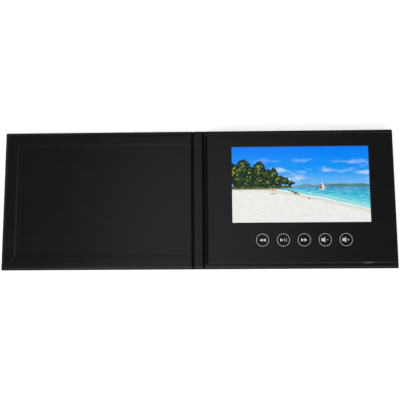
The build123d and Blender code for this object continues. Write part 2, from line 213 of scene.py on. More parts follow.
def placeGroup(tree, group, **values):
    node = addNode(tree, "ShaderNodeGroup", node_tree=group)
    for label, value in values.items():
        feed(tree, value, node.inputs[label])
    return node.outputs


def buildPebbleGrain():
    # rounded pebbles with thin valleys between them, as on embossed leatherette and card
    group, given, result = newGroup(
        "pebbleGrain",
        [("Place", "NodeSocketVector", None), ("PerMetre", "NodeSocketFloat", 1500.0)],
        [("Height", "NodeSocketFloat"), ("Valley", "NodeSocketFloat")])
    wander = addNode(group, "ShaderNodeTexNoise")
    feed(group, given["Place"], wander.inputs["Vector"])
    feed(group, maths(group, "MULTIPLY", given["PerMetre"], 0.7), wander.inputs["Scale"])
    shift = vectorMaths(group, "MULTIPLY", wander.outputs["Color"], (0.0006, 0.0006, 0.0006))
    cells = addNode(group, "ShaderNodeTexVoronoi", feature="DISTANCE_TO_EDGE")
    feed(group, vectorMaths(group, "ADD", given["Place"], shift), cells.inputs["Vector"])
    feed(group, given["PerMetre"], cells.inputs["Scale"])
    pebble = remap(group, cells.outputs["Distance"], 0.0, 0.22, smooth=True)
    fine = noiseOf(group, given["Place"], maths(group, "MULTIPLY", given["PerMetre"], 3.0))
    feed(group, maths(group, "MULTIPLY_ADD", fine, 0.25, pebble), result["Height"])
    feed(group, maths(group, "SUBTRACT", 1.0, pebble), result["Valley"])
    return group


def buildSoftMottle():
    # slow, cloudy differences such as handling leaves on a smooth surface
    group, given, result = newGroup(
        "softMottle",
        [("Place", "NodeSocketVector", None), ("PerMetre", "NodeSocketFloat", 22.0)],
        [("Tone", "NodeSocketFloat")])
    broad = noiseOf(group, given["Place"], given["PerMetre"], 3.0, 0.6)
    close = noiseOf(group, given["Place"], maths(group, "MULTIPLY", given["PerMetre"], 7.0), 3.0, 0.6)
    both = maths(group, "MULTIPLY_ADD", close, 0.35, maths(group, "MULTIPLY", broad, 0.65))
    feed(group, remap(group, both, 0.3, 0.7, smooth=True), result["Tone"])
    return group


def buildDustSpecks():
    # sparse grains of dust and lint
    group, given, result = newGroup(
        "dustSpecks",
        [("Place", "NodeSocketVector", None), ("PerMetre", "NodeSocketFloat", 220.0),
         ("Amount", "NodeSocketFloat", 0.1)],
        [("Mask", "NodeSocketFloat")])
    specks = addNode(group, "ShaderNodeTexVoronoi", feature="F1")
    feed(group, given["Place"], specks.inputs["Vector"])
    feed(group, given["PerMetre"], specks.inputs["Scale"])
    near = remap(group, specks.outputs["Distance"], 0.05, 0.16, 1.0, 0.0)
    chosen = maths(group, "LESS_THAN", noiseOf(group, given["Place"], 60.0, 1.0), given["Amount"])
    feed(group, maths(group, "MULTIPLY", near, chosen), result["Mask"])
    return group


def buildRubbedEdge():
    # breaks the even edge mask up, so wear comes and goes along an edge
    group, given, result = newGroup(
        "rubbedEdge",
        [("Place", "NodeSocketVector", None), ("Edge", "NodeSocketFloat", 0.0),
         ("Amount", "NodeSocketFloat", 0.5)],
        [("Mask", "NodeSocketFloat")])
    patches = noiseOf(group, given["Place"], 90.0, 4.0, 0.65)
    worn = remap(group, patches, 0.35, 0.75)
    feed(group, maths(group, "MULTIPLY", maths(group, "MULTIPLY", worn, given["Edge"]), given["Amount"]),
         result["Mask"])
    return group


def buildFibres():
    # long fine streaks along X, as in brushed metal and rolled card
    group, given, result = newGroup(
        "fibres",
        [("Place", "NodeSocketVector", None), ("PerMetre", "NodeSocketFloat", 4000.0)],
        [("Tone", "NodeSocketFloat")])
    drawn = vectorMaths(group, "MULTIPLY", given["Place"], (0.03, 1.0, 1.0))
    feed(group, noiseOf(group, drawn, given["PerMetre"], 3.0, 0.6), result["Tone"])
    return group


pebbleGrain = buildPebbleGrain()
softMottle = buildSoftMottle()
dustSpecks = buildDustSpecks()
rubbedEdge = buildRubbedEdge()
fibres = buildFibres()


def newMaterial(name):
    material = bpy.data.materials.new(name)
    material.use_nodes = True
    tree = material.node_tree
    tree.nodes.clear()
    shader = addNode(tree, "ShaderNodeBsdfPrincipled")
    output = addNode(tree, "ShaderNodeOutputMaterial")
    tree.links.new(shader.outputs[0], output.inputs["Surface"])
    return material, tree, shader


def marked(tree, name, kind="Fac"):
    # a value stored on the mesh, such as edgeRub or paintedShade
    return addNode(tree, "ShaderNodeAttribute", attribute_name=name).outputs[kind]


def restPlace(tree):
    return marked(tree, "restSpot", "Vector")


def objectPlace(tree):
    return addNode(tree, "ShaderNodeTexCoord").outputs["Object"]


def raiseSurface(tree, shader, height, depth):
    bump = addNode(tree, "ShaderNodeBump")
    bump.inputs["Strength"].default_value = 1.0
    bump.inputs["Distance"].default_value = depth * mm
    feed(tree, height, bump.inputs["Height"])
    tree.links.new(bump.outputs[0], shader.inputs["Normal"])


leatherette = {
    "colour": (0.0050, 0.0050, 0.0053), "paler": (0.0068, 0.0067, 0.0070), "rubbed": (0.022, 0.0215, 0.021),
    "roughness": (0.31, 0.37), "specular": 0.13, "edgeShine": 0.06, "coatRoughness": 0.2,
    "grainPerMetre": 1500.0, "grainDepth": 0.016, "wear": 0.5, "dust": 0.30,
}
lining = {
    "colour": (0.0050, 0.0050, 0.0051), "paler": (0.0066, 0.0066, 0.0067), "rubbed": (0.016, 0.016, 0.0155),
    "roughness": (0.31, 0.37), "specular": 0.13, "edgeShine": 0.25, "coatRoughness": 0.2,
    "grainPerMetre": 2300.0, "grainDepth": 0.008, "wear": 0.4, "dust": 0.36,
}


def buildCoverMaterial(name, look):
    material, tree, shader = newMaterial(name)
    place = restPlace(tree)
    grain = placeGroup(tree, pebbleGrain, Place=place, PerMetre=look["grainPerMetre"])
    tone = placeGroup(tree, softMottle, Place=place, PerMetre=26.0)["Tone"]
    edge = marked(tree, "edgeRub")
    worn = placeGroup(tree, rubbedEdge, Place=place, Edge=edge, Amount=look["wear"])["Mask"]
    dust = placeGroup(tree, dustSpecks, Place=place, PerMetre=260.0, Amount=look["dust"])["Mask"]
    colour = mixColours(tree, tone, look["colour"], look["paler"])
    # painted shade in the valleys of the grain
    colour = mixColours(tree, maths(tree, "MULTIPLY", grain["Valley"], 0.4), colour, (0.002, 0.002, 0.002))
    colour = mixColours(tree, worn, colour, look["rubbed"])
    paintedShade = marked(tree, "paintedShade")
    colour = mixColours(tree, maths(tree, "MULTIPLY", dust, 0.25), colour, (0.09, 0.088, 0.08))
    # painted shade: where paintedShade is set, the sheet is darkened to near black and made rougher
    colour = mixColours(tree, paintedShade, colour, (0.001, 0.001, 0.001))
    feed(tree, colour, shader.inputs["Base Color"])
    rough = remap(tree, tone, 0.0, 1.0, *look["roughness"])
    feed(tree, remap(tree, paintedShade, 0.0, 1.0, rough, 0.75), shader.inputs["Roughness"])
    # where the sheet is stretched tight, and along handled edges, it shines
    polish = marked(tree, "polish")
    feed(tree, maths(tree, "MAXIMUM", polish, maths(tree, "MULTIPLY", edge, look["edgeShine"])),
         shader.inputs["Coat Weight"])
    shader.inputs["Coat Roughness"].default_value = look["coatRoughness"]
    shader.inputs["Specular IOR Level"].default_value = look["specular"]
    raiseSurface(tree, shader, grain["Height"], look["grainDepth"])
    return material


# the parts inside the block and the boards, by the record's material slot
finishRows = {   # colour, second colour, roughness, metal, streaks per metre, depth
    "grey_board": ((0.3, 0.285, 0.26), (0.21, 0.2, 0.185), (0.8, 0.95), 0.0, 900.0, 0.03),
    "dark_board": ((0.03, 0.029, 0.028), (0.018, 0.018, 0.017), (0.8, 0.95), 0.0, 900.0, 0.03),
    "adhesive_film": ((0.72, 0.69, 0.58), (0.62, 0.59, 0.5), (0.35, 0.5), 0.0, 500.0, 0.01),
    "pressed_steel": ((0.56, 0.56, 0.57), (0.42, 0.42, 0.43), (0.28, 0.42), 1.0, 5000.0, 0.002),
    "light_guide_plastic": ((0.8, 0.84, 0.86), (0.7, 0.75, 0.78), (0.1, 0.2), 0.0, 700.0, 0.002),
    "flex_film": ((0.42, 0.19, 0.03), (0.55, 0.27, 0.05), (0.25, 0.4), 0.0, 1600.0, 0.01),
    "chip_plastic": ((0.018, 0.018, 0.02), (0.035, 0.035, 0.037), (0.5, 0.65), 0.0, 3000.0, 0.01),
    "socket_plastic": ((0.62, 0.58, 0.47), (0.54, 0.5, 0.4), (0.4, 0.55), 0.0, 1500.0, 0.01),
    "battery_foil": ((0.6, 0.61, 0.63), (0.48, 0.49, 0.51), (0.3, 0.5), 0.7, 260.0, 0.06),
    "red_insulation": ((0.42, 0.02, 0.015), (0.33, 0.015, 0.01), (0.35, 0.5), 0.0, 1200.0, 0.01),
    "black_insulation": ((0.012, 0.012, 0.013), (0.03, 0.03, 0.03), (0.35, 0.5), 0.0, 1200.0, 0.01),
    "speaker_plastic": ((0.02, 0.02, 0.021), (0.04, 0.04, 0.042), (0.45, 0.6), 0.0, 1500.0, 0.02),
    "speaker_paper": ((0.05, 0.047, 0.042), (0.1, 0.095, 0.085), (0.75, 0.9), 0.0, 2200.0, 0.04),
    "magnet_nickel": ((0.62, 0.6, 0.56), (0.52, 0.5, 0.47), (0.18, 0.3), 1.0, 3000.0, 0.001),
    "switch_plastic": ((0.03, 0.03, 0.032), (0.05, 0.05, 0.052), (0.4, 0.55), 0.0, 2000.0, 0.01),
}
partFinishes = {name: dict(zip(("colour", "other", "rough", "metal", "streaks", "depth"), row))
                for name, row in finishRows.items()}


def buildPartMaterial(name, look):
    material, tree, shader = newMaterial(name)
    place = objectPlace(tree)
    streak = placeGroup(tree, fibres, Place=place, PerMetre=look["streaks"])["Tone"]
    tone = placeGroup(tree, softMottle, Place=place, PerMetre=120.0)["Tone"]
    blend = maths(tree, "MULTIPLY_ADD", streak, 0.6, maths(tree, "MULTIPLY", tone, 0.4), clamped=True)
    dust = placeGroup(tree, dustSpecks, Place=place, PerMetre=300.0, Amount=0.36)["Mask"]
    colour = mixColours(tree, blend, look["colour"], look["other"])
    colour = mixColours(tree, maths(tree, "MULTIPLY", dust, 0.3), colour, (0.35, 0.33, 0.30))
    feed(tree, colour, shader.inputs["Base Color"])
    feed(tree, remap(tree, blend, 0.0, 1.0, *look["rough"]), shader.inputs["Roughness"])
    shader.inputs["Metallic"].default_value = look["metal"]
    raiseSurface(tree, shader, streak, look["depth"])
    return material


circuit = {
    "mask": (0.006, 0.075, 0.035), "copper": (0.015, 0.125, 0.06), "pads": (0.62, 0.60, 0.52),
    "tracksPerMetre": 420.0, "padsPerMetre": 300.0,
}


def buildCircuitBoard():
    # green lacquer with copper tracks under it and tinned pads
    material, tree, shader = newMaterial("circuitBoard")
    place = objectPlace(tree)
    bent = addNode(tree, "ShaderNodeTexVoronoi", feature="F1", distance="CHEBYCHEV")
    feed(tree, place, bent.inputs["Vector"])
    feed(tree, circuit["padsPerMetre"] / 2, bent.inputs["Scale"])
    lines = addNode(tree, "ShaderNodeTexWave", wave_type="BANDS", bands_direction="Y")
    feed(tree, vectorMaths(tree, "ADD", place, vectorMaths(tree, "MULTIPLY", bent.outputs["Position"],
                                                          (0.0, 0.002, 0.0))), lines.inputs["Vector"])
    feed(tree, circuit["tracksPerMetre"] / 3, lines.inputs["Scale"])
    track = remap(tree, lines.outputs["Fac"], 0.55, 0.62)
    dots = addNode(tree, "ShaderNodeTexVoronoi", feature="F1")
    feed(tree, place, dots.inputs["Vector"])
    feed(tree, circuit["padsPerMetre"], dots.inputs["Scale"])
    feed(tree, 0.25, dots.inputs["Randomness"])
    pad = maths(tree, "MULTIPLY", remap(tree, dots.outputs["Distance"], 0.20, 0.24, 1.0, 0.0),
                maths(tree, "GREATER_THAN", noiseOf(tree, place, 70.0, 1.0), 0.53))
    colour = mixColours(tree, track, circuit["mask"], circuit["copper"])
    colour = mixColours(tree, pad, colour, circuit["pads"])
    feed(tree, colour, shader.inputs["Base Color"])
    feed(tree, pad, shader.inputs["Metallic"])
    feed(tree, remap(tree, track, 0.0, 1.0, 0.42, 0.30), shader.inputs["Roughness"])
    raiseSurface(tree, shader, maths(tree, "ADD", track, pad), 0.03)
    return material


buttonLook = {"colour": (0.0030, 0.0030, 0.0033), "other": (0.0050, 0.0050, 0.0053), "rough": (0.30, 0.38),
              "specular": 0.10}
foilLook = {"colour": (0.56, 0.55, 0.515), "other": (0.46, 0.45, 0.42), "rough": (0.34, 0.5), "metal": 0.12}


def buildButtonPlastic():
    material, tree, shader = newMaterial("buttonPlastic")
    place = objectPlace(tree)
    grain = placeGroup(tree, pebbleGrain, Place=place, PerMetre=5200.0)
    tone = placeGroup(tree, softMottle, Place=place, PerMetre=150.0)["Tone"]
    dust = placeGroup(tree, dustSpecks, Place=place, PerMetre=500.0, Amount=0.34)["Mask"]
    colour = mixColours(tree, tone, buttonLook["colour"], buttonLook["other"])
    colour = mixColours(tree, maths(tree, "MULTIPLY", dust, 0.3), colour, (0.10, 0.10, 0.09))
    feed(tree, colour, shader.inputs["Base Color"])
    feed(tree, remap(tree, tone, 0.0, 1.0, *buttonLook["rough"]), shader.inputs["Roughness"])
    shader.inputs["Specular IOR Level"].default_value = buttonLook["specular"]
    raiseSurface(tree, shader, grain["Height"], 0.004)
    return material


def buildSilverFoil():
    material, tree, shader = newMaterial("silverFoil")
    place = objectPlace(tree)
    streak = placeGroup(tree, fibres, Place=place, PerMetre=5000.0)["Tone"]
    tone = placeGroup(tree, softMottle, Place=place, PerMetre=400.0)["Tone"]
    feed(tree, mixColours(tree, maths(tree, "MULTIPLY", tone, streak), foilLook["colour"], foilLook["other"]),
         shader.inputs["Base Color"])
    feed(tree, remap(tree, tone, 0.0, 1.0, *foilLook["rough"]), shader.inputs["Roughness"])
    shader.inputs["Metallic"].default_value = foilLook["metal"]
    raiseSurface(tree, shader, streak, 0.003)
    return material


leatheretteMaterial = buildCoverMaterial("blackLeatherette", leatherette)
liningMaterial = buildCoverMaterial("blackLining", lining)
partMaterials = {slot: buildPartMaterial(slot, look) for slot, look in partFinishes.items()}
partMaterials["circuit_board"] = buildCircuitBoard()
partMaterials["button_plastic"] = buildButtonPlastic()
partMaterials["silver_foil"] = buildSilverFoil()
partMaterials["black_leatherette"] = leatheretteMaterial
partMaterials["black_lining"] = liningMaterial
partMaterials["screen_glass"] = partMaterials["chip_plastic"]

for part in frame["record"]["subparts"]:
    slots = nodes[part["node"]].data.materials
    slots.clear()
    # the block's core takes the dark board, so its port opening isn't pale
    slots.append(partMaterials["dark_board" if part["node"] == "block_core" else part["material_slot"]])


boardLow, boardHigh = boxOf("back_board")
spineHigh = boxOf("spine_board")[1]
wrapLow, wrapHigh = boxOf("back_wrap")
linerHigh = boxOf("back_liner")[1]
blockFar = boxOf("block_wrap")[1].y

case = {
    "turnIn": 15.0,          # how far the wrap is folded in over the boards
    "lowRound": 0.5, "highRound": 0.8,   # rounding of the wrapped board edges
    "shoulderTilt": 18.0, "shoulderWidth": 2.7, "shoulderRound": 2.0,
    "shoulderShine": 0.4, "rimShade": 1.1,   # the pressed shoulder shines, the rim below it gets painted shade and is dull
    "seamShade": 0.8,        # painted shade along the line around the lining's edge
    "linerInset": 1.0,       # how much further in the lining ends than its solid does
    "cornerRound": 1.3,
    "grooveRound": 1.5,      # rounding at the foot of the joint grooves
    "blockLip": 0.9, "frontLip": 0.3,    # how far the sheets overhang each groove
    "stepWidth": 2.3,        # how softly the lining drops off the turned-in wrap
    "marginPad": 0.25,       # how far the glued margin stands above the flat sheet
    "mitreRidge": 0.26,      # height of the doubled wrap under the lining at the corners
    "mitreWidth": 0.75,
    "innerLine": 0.12,       # height of the second line inside the pan
    "waviness": 0.05,
    "spineEndGap": 0.02, "spineBreak": 0.14, "spineSquash": 0.86,   # broken long edges of the spine's board
    "grooveShade": 0.7,      # depth over which painted shade darkens the joint grooves
    "shelfWidth": 3.0,       # strip of painted shade at the foot of the block
    "seamWidth": 0.45, "rimFade": 0.4,
    "polishPlace": 2.3, "polishWidth": 0.8,
    "bendStart": 0.25, "bendLength": 1.15,   # where a sheet starts to bend, and over what length
}
wrapSheet = wrapHigh.z - boardHigh.z
linerSheet = linerHigh.z - wrapHigh.z
linerEndX, linerEndY = linerHigh.x - case["linerInset"], linerHigh.y - case["linerInset"]


def jointSection(layer, side):
    # cut across half a joint: from the middle of the spine over the groove to the cover's board,
    # for a sheet lying this far above the boards
    fold = case["grooveRound"]
    lip = boardLow.x - (case["blockLip"] if side > 0 else case["frontLip"])
    middle = (spineHigh.x + lip) / 2
    wall = []
    for step in range(1, 5):
        angle = math.radians(90 - 22.5 * step)
        wall.append((spineHigh.x + layer * math.cos(angle), boardHigh.z + layer * math.sin(angle)))
    foot = boardLow.z + layer + fold
    wall.append((spineHigh.x + layer, (boardHigh.z + foot) / 2))
    for step in range(7):
        angle = math.radians(180 + 15 * step)
        wall.append((spineHigh.x + layer + fold + fold * math.cos(angle), foot + fold * math.sin(angle)))
    floorStart = wall[-1][0]
    floor = [(floorStart + (2 * middle - 2 * floorStart) * step / 4, wall[-1][1]) for step in range(1, 4)]
    spine = [(x, boardHigh.z + layer) for x in (0.0, 1.5, 3.0, 4.0, spineHigh.x)]
    mirrored = [(2 * middle - x, z) for x, z in reversed(wall)]
    top = boardHigh.z + layer
    return spine + wall + floor + mirrored + [(lip, top), (boardLow.x, top)]


def panInset(x, y):
    # how far inside the pan of the lining a point is, with a rounded corner
    outX = (wrapHigh.x - case["turnIn"]) - x
    outY = (wrapHigh.y - case["turnIn"]) - abs(y)
    return min(outX, outY), outX, outY


def linerRise(x, y, ridges):
    inside, outX, outY = panInset(x, y)
    margin = 1 - ease(inside / case["stepWidth"] + 0.35)
    rise = wrapSheet * margin
    if ridges:
        rim = min(linerEndX - x, linerEndY - abs(y))
        rise += case["marginPad"] * margin * ease(rim / 3) * ease((x - boardLow.x) / 5)
        # the mitred corner of the wrap shows through as a diagonal ridge
        if outX < 1.0 and outY < 1.0:
            across = abs(outX - outY) / math.sqrt(2)
            fade = ease((1.0 - max(outX, outY)) / 1.5)
            rise += case["mitreRidge"] * fade * math.exp(-(across / case["mitreWidth"]) ** 2)
        # and the trimmed filler under the lining as a faint second line
        lineX, lineY, corner = outX - 4.2, outY - 2.6, 5.0
        if lineX < corner and lineY < corner:
            line = corner - math.hypot(corner - lineX, corner - lineY)
        else:
            line = min(lineX, lineY)
        rise += case["innerLine"] * (1 - ease(line / 1.0 + 0.5)) * ease(inside / 1.0)
        swell = noise.noise(Vector((x / 46, y / 40, 0.3))) + 0.4 * noise.noise(Vector((x / 15, y / 13, 4.1)))
        rise += case["waviness"] * 0.5 * (1 + swell) * ease((inside - 5) / 12)
    return rise


def buildLinerSheet(name, side, ridges):
    halfY = linerEndY
    panY = wrapHigh.y - case["turnIn"]
    ys = [0.0] + spread(0, panY - 3.5, 11) + spread(panY - 3.5, panY + 1.5, 20)
    ys += spread(panY + 1.5, halfY, 32)
    ys = [-y for y in reversed(ys[1:])] + ys
    panX = wrapHigh.x - case["turnIn"]
    xs = spread(boardLow.x, boardLow.x + 5, 4) + spread(boardLow.x + 5, panX - 6.5, 36)
    xs += spread(panX - 6.5, panX + 1.5, 30) + spread(panX + 1.5, linerEndX, 32)
    points = []
    for y in ys:
        over = wrapSheet * (1 - ease((panY - abs(y)) / case["stepWidth"] + 0.35))
        for x, z in jointSection(linerSheet + over, side):
            points.append((side * x, y, z))
        for x in xs:
            points.append((side * x, y, boardHigh.z + linerSheet + linerRise(x, y, ridges)))
    columns = len(points) // len(ys)
    piece = makePiece(name, points, gridFaces(len(ys), columns), flip=side < 0)
    thicken(piece, linerSheet)
    smoothPiece(piece, 40)
    return piece


runCount, arcCount, foreCount = 26, 6, 16      # points along the head, each corner and the fore edge


def coverPoint(station, endX, endY, corner, inset):
    # plan of a cover's three free edges: head, corner, fore edge, corner, tail
    radius = max(corner - inset, 0.04)
    cornerX, cornerY = endX - inset - radius, endY - inset - radius
    if station <= runCount:
        return boardLow.x + (cornerX - boardLow.x) * station / runCount, endY - inset
    station -= runCount
    if station <= arcCount:
        angle = math.radians(90 - 90 * station / arcCount)
        return cornerX + radius * math.cos(angle), cornerY + radius * math.sin(angle)
    station -= arcCount
    return endX - inset, cornerY * (1 - 2 * station / foreCount)


def edgeProfile(sunk):
    # section of a free edge this far below the wrap's surface, from the underside up and in:
    # a rounded foot, an upright, a tight turn, then a pressed shoulder that runs out into the flat
    low, high, last = case["lowRound"], case["highRound"], case["shoulderRound"]
    tilt = math.radians(case["shoulderTilt"])
    profile = []
    for step in range(6):
        turn = math.radians(18 * step)
        profile.append((low - (low - sunk) * math.sin(turn), low - (low - sunk) * math.cos(turn)))
    turnStart = high * (1 - math.sin(tilt))
    middle = wrapHigh.z - (case["shoulderWidth"] - turnStart) * math.tan(tilt) - high * math.cos(tilt)
    for step in range(6):
        turn = math.radians(90) + (tilt - math.radians(90)) * step / 5
        profile.append((high - (high - sunk) * math.sin(turn), middle + (high - sunk) * math.cos(turn)))
    flat = case["shoulderWidth"] + last * math.tan(tilt / 2)
    start = profile[-1]
    slopeEnd = (flat - (last - sunk) * math.sin(tilt), wrapHigh.z - last + (last - sunk) * math.cos(tilt))
    for share in (0.2, 0.4, 0.6, 0.8):
        profile.append(tuple(a + (b - a) * share for a, b in zip(start, slopeEnd)))
    for step in range(5):
        turn = tilt * (1 - step / 4)
        profile.append((flat - (last - sunk) * math.sin(turn),
                        wrapHigh.z - last + (last - sunk) * math.cos(turn)))
    return profile


def buildBoard(name, side):
    # a cover's board, with its free edges pressed round under the wrap
    half = range(runCount + arcCount + foreCount // 2 + 1)
    points, profile = [], edgeProfile(1.08 * wrapSheet)
    for inset, height in profile:
        line = [(*coverPoint(station, wrapHigh.x, wrapHigh.y, case["cornerRound"], inset), height)
                for station in half]
        points += line + [(x, -y, z) for x, y, z in reversed(line[:-1])]
    columns = len(points) // len(profile)
    last = len(points) - columns
    faces = gridFaces(len(profile), columns)
    faces += [tuple(reversed(range(columns))), tuple(range(last, last + columns))]
    faces.append(tuple(ring * columns for ring in range(len(profile)))
                 + tuple(ring * columns + columns - 1 for ring in reversed(range(len(profile)))))
    piece = makePiece(name, [(side * x, y, z) for x, y, z in points], faces, flip=side < 0)
    smoothPiece(piece, 40)
    piece.data.materials.append(partMaterials["grey_board"])
    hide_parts(("back" if side > 0 else "front") + "_board")
    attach(piece, "back_cover_and_block" if side > 0 else "front_cover")


def buildSpineBoard():
    # the spine's board: its long edges are just broken, its ends pressed round like the covers'
    section = [(wrapHigh.y - inset, height) for inset, height in edgeProfile(1.08 * wrapSheet)]
    section += [(-y, z) for y, z in reversed(section)]
    middle = (boardLow.z + boardHigh.z) / 2
    points = []
    end, full = spineHigh.x - case["spineEndGap"], spineHigh.x - case["spineBreak"]
    squashed = case["spineSquash"]
    for x, squash in ((-end, squashed), (-full, 1.0), (-2, 1.0), (0, 1.0), (2, 1.0), (full, 1.0),
                      (end, squashed)):
        points += [(x, y * (0.9993 + 0.0007 * squash), middle + (z - middle) * squash) for y, z in section]
    columns = len(section)
    rows = len(points) // columns
    faces = gridFaces(rows, columns)
    faces += [(row * columns + columns - 1, row * columns, row * columns + columns,
               row * columns + 2 * columns - 1) for row in range(rows - 1)]
    faces += [tuple(range(columns)), tuple(range((rows - 1) * columns, rows * columns))]
    piece = makePiece("spineBoard", points, faces)
    faceOutward(piece)
    smoothPiece(piece, 40)
    piece.data.materials.append(partMaterials["grey_board"])
    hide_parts("spine_board")
    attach(piece, "spine")


def buildWrapSheet(name, side):
    section = jointSection(wrapSheet, side)
    groove = [place for place, (x, z) in enumerate(section) if x > spineHigh.x]
    under = [x for x, z in section]
    for count, place in enumerate(groove):
        # the underside has no walls, so its points are spread evenly below them
        under[place] = spineHigh.x + (boardLow.x - spineHigh.x) * (count + 1) / len(groove)

    # rings over half of the edge, from the middle of the spine to the middle of the fore edge,
    # each mirrored in Y; over the joint they follow its section
    rings = edgeProfile(0.0) + [(inset, wrapHigh.z) for inset in (3.5, 6.0, 10.0, case["turnIn"])]
    stations = list(range(1, runCount + arcCount + foreCount // 2 + 1))
    points, columns = [], 0
    for inset, height in rings:
        share = height / wrapHigh.z
        line = [(under[place] * (1 - share) + x * share, wrapHigh.y - inset, z * share)
                for place, (x, z) in enumerate(section)]
        line += [(*coverPoint(station, wrapHigh.x, wrapHigh.y, case["cornerRound"], inset), height)
                 for station in stations]
        line += [(x, -y, z) for x, y, z in reversed(line[:-1])]
        columns = len(line)
        points += line
    faces = gridFaces(len(rings), columns)

    # the underside fills the first ring, row by row from head to tail
    rows = len(section) + runCount + arcCount
    start = len(points)
    for row in range(rows - 1):
        x, y = points[row][0], points[row][1]
        points += [(x, y * (1 - 2 * step / foreCount), 0.0) for step in range(1, foreCount)]

    def underPoint(row, step):
        if step == 0:
            return row
        if step == foreCount:
            return columns - 1 - row
        return row + step if row == rows - 1 else start + row * (foreCount - 1) + step - 1

    for row in range(rows - 1):
        for step in range(foreCount):
            faces.append((underPoint(row, step), underPoint(row, step + 1), underPoint(row + 1, step + 1),
                          underPoint(row + 1, step)))
    piece = makePiece(name, [(side * x, y, z) for x, y, z in points], faces, flip=side > 0)
    thicken(piece, wrapSheet)
    smoothPiece(piece, 40)
    return piece


def finishCasePiece(piece, material, replaced, reach):
    piece.data.materials.clear()
    piece.data.materials.append(material)
    low, high = Vector((-wrapHigh.x, wrapLow.y, 0)), Vector((wrapHigh.x, wrapHigh.y, wrapHigh.z))
    if material == liningMaterial:
        low, high = Vector((-linerEndX, -linerEndY, -9)), Vector((linerEndX, linerEndY, linerHigh.z))
    markSurface(piece, low, high, reach)
    linerSeam = wrapHigh.y - linerEndY       # the lining ends this far in

    def rimOf(x, y):
        return min(wrapHigh.x - abs(x), wrapHigh.y - abs(y))

    # painted shade in the joint grooves, on the shelf at the foot of the block, along the lining's edge and
    # on the outer rim
    def shadeOf(x, y, z):
        if spineHigh.x < abs(x) < boardLow.x and z > 0.3:
            return clamp((boardHigh.z - 0.1 - z) / case["grooveShade"])
        if boardLow.x - 0.1 < x < boardLow.x + case["shelfWidth"] and z > 1 and abs(y) < blockFar:
            return 1.0                       # painted shade on the narrow shelf at the foot of the block
        offSeam = (rimOf(x, y) - linerSeam) / case["seamWidth"]
        seam = case["seamShade"] * math.exp(-offSeam ** 2) if z > 1 else 0.0
        return max(seam, clamp((case["rimShade"] + case["rimFade"] - rimOf(x, y)) / case["rimFade"]))

    def polishOf(x, y, z):
        offBand = (rimOf(x, y) - case["polishPlace"]) / case["polishWidth"]
        return case["shoulderShine"] * math.exp(-offBand ** 4) if z > 1 else 0.0

    markPoints(piece, "paintedShade", shadeOf)
    if material == leatheretteMaterial:
        markPoints(piece, "polish", polishOf)
    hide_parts(*replaced)
    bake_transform(piece)


for side, half in ((-1, "front"), (1, "back")):
    buildBoard(half + "Board", side)
    wrap = buildWrapSheet(half + "WrapSheet", side)
    finishCasePiece(wrap, leatheretteMaterial, (half + "_wrap", "spine_wrap"), 1.1)
    liner = buildLinerSheet(half + "LinerSheet", side, side < 0)
    finishCasePiece(liner, liningMaterial, (half + "_liner", "spine_liner"), 0.8)
buildSpineBoard()
print("case sheets made")


blockLow, blockHigh = boxOf("block_wrap")
glassLow, glassHigh = boxOf("lcd_glass")
bezelHigh = boxOf("lcd_bezel")[1]
buttonNames = ["previous", "play", "next", "quieter", "louder"]

block = {
    "edgeRound": 1.5, "cornerRound": 2.0, "leftRound": 0.5, "farRoll": 0.30,
    "windowMargin": 0.3, "windowRound": 0.5, "windowCorner": 0.6,
    "activeWidth": 154.08, "activeDepth": 85.92, "screenMiddle": (115.5, 15.1),
    "holeRadius": 7.8, "holeRound": 0.22,
    "portMiddle": (192.5, 7.5), "portWidth": 12.0, "portHeight": 6.0, "portCorner": 1.5,
    "waviness": 0.05, "sheet": 0.25, "edgeBead": 0.13, "edgeBeadPlace": 2.7, "edgeBeadWidth": 0.5,
    # the wrap stands off the block over the port: its reach from the near edge along X, and its lift
    "portReach": ((154, 0.0), (161, 3.2), (168, 6.3), (175, 7.4),
                  (184, 6.8), (195, 4.6), (206, 3.2), (218, 1.6)),
    "flatInset": 4.2,        # where the rings round the edge end and the flat top starts
    "portLift": 0.27, "portCrease": 0.12, "portGlint": (188.0, 5.6),
}


def roundedLoop(halfX, halfY, radius, middle=(0.0, 0.0), straights=(1, 1), arcs=6):
    # counter-clockwise, starting at the right end of the near side
    loop = []
    corners = [(1, -1, -90), (1, 1, 0), (-1, 1, 90), (-1, -1, 180)]
    for count, (signX, signY, start) in enumerate(corners):
        cornerX, cornerY = signX * (halfX - radius), signY * (halfY - radius)
        for step in range(arcs + 1):
            angle = math.radians(start + 90 * step / arcs)
            loop.append((middle[0] + cornerX + radius * math.cos(angle),
                         middle[1] + cornerY + radius * math.sin(angle)))
        nextX, nextY, nextStart = corners[(count + 1) % 4]
        end = math.radians(nextStart)
        target = (middle[0] + nextX * (halfX - radius) + radius * math.cos(end),
                  middle[1] + nextY * (halfY - radius) + radius * math.sin(end))
        divisions = straights[1] if count % 2 == 0 else straights[0]
        begin = loop[-1]
        for step in range(1, divisions):
            share = step / divisions
            loop.append((begin[0] + (target[0] - begin[0]) * share,
                         begin[1] + (target[1] - begin[1]) * share))
    return loop


def insideLoop(point, loop):
    crossings = False
    for (x1, y1), (x2, y2) in zip(loop, loop[1:] + loop[:1]):
        if (y1 > point[1]) != (y2 > point[1]) and point[0] < (x2 - x1) * (point[1] - y1) / (y2 - y1) + x1:
            crossings = not crossings
    return crossings


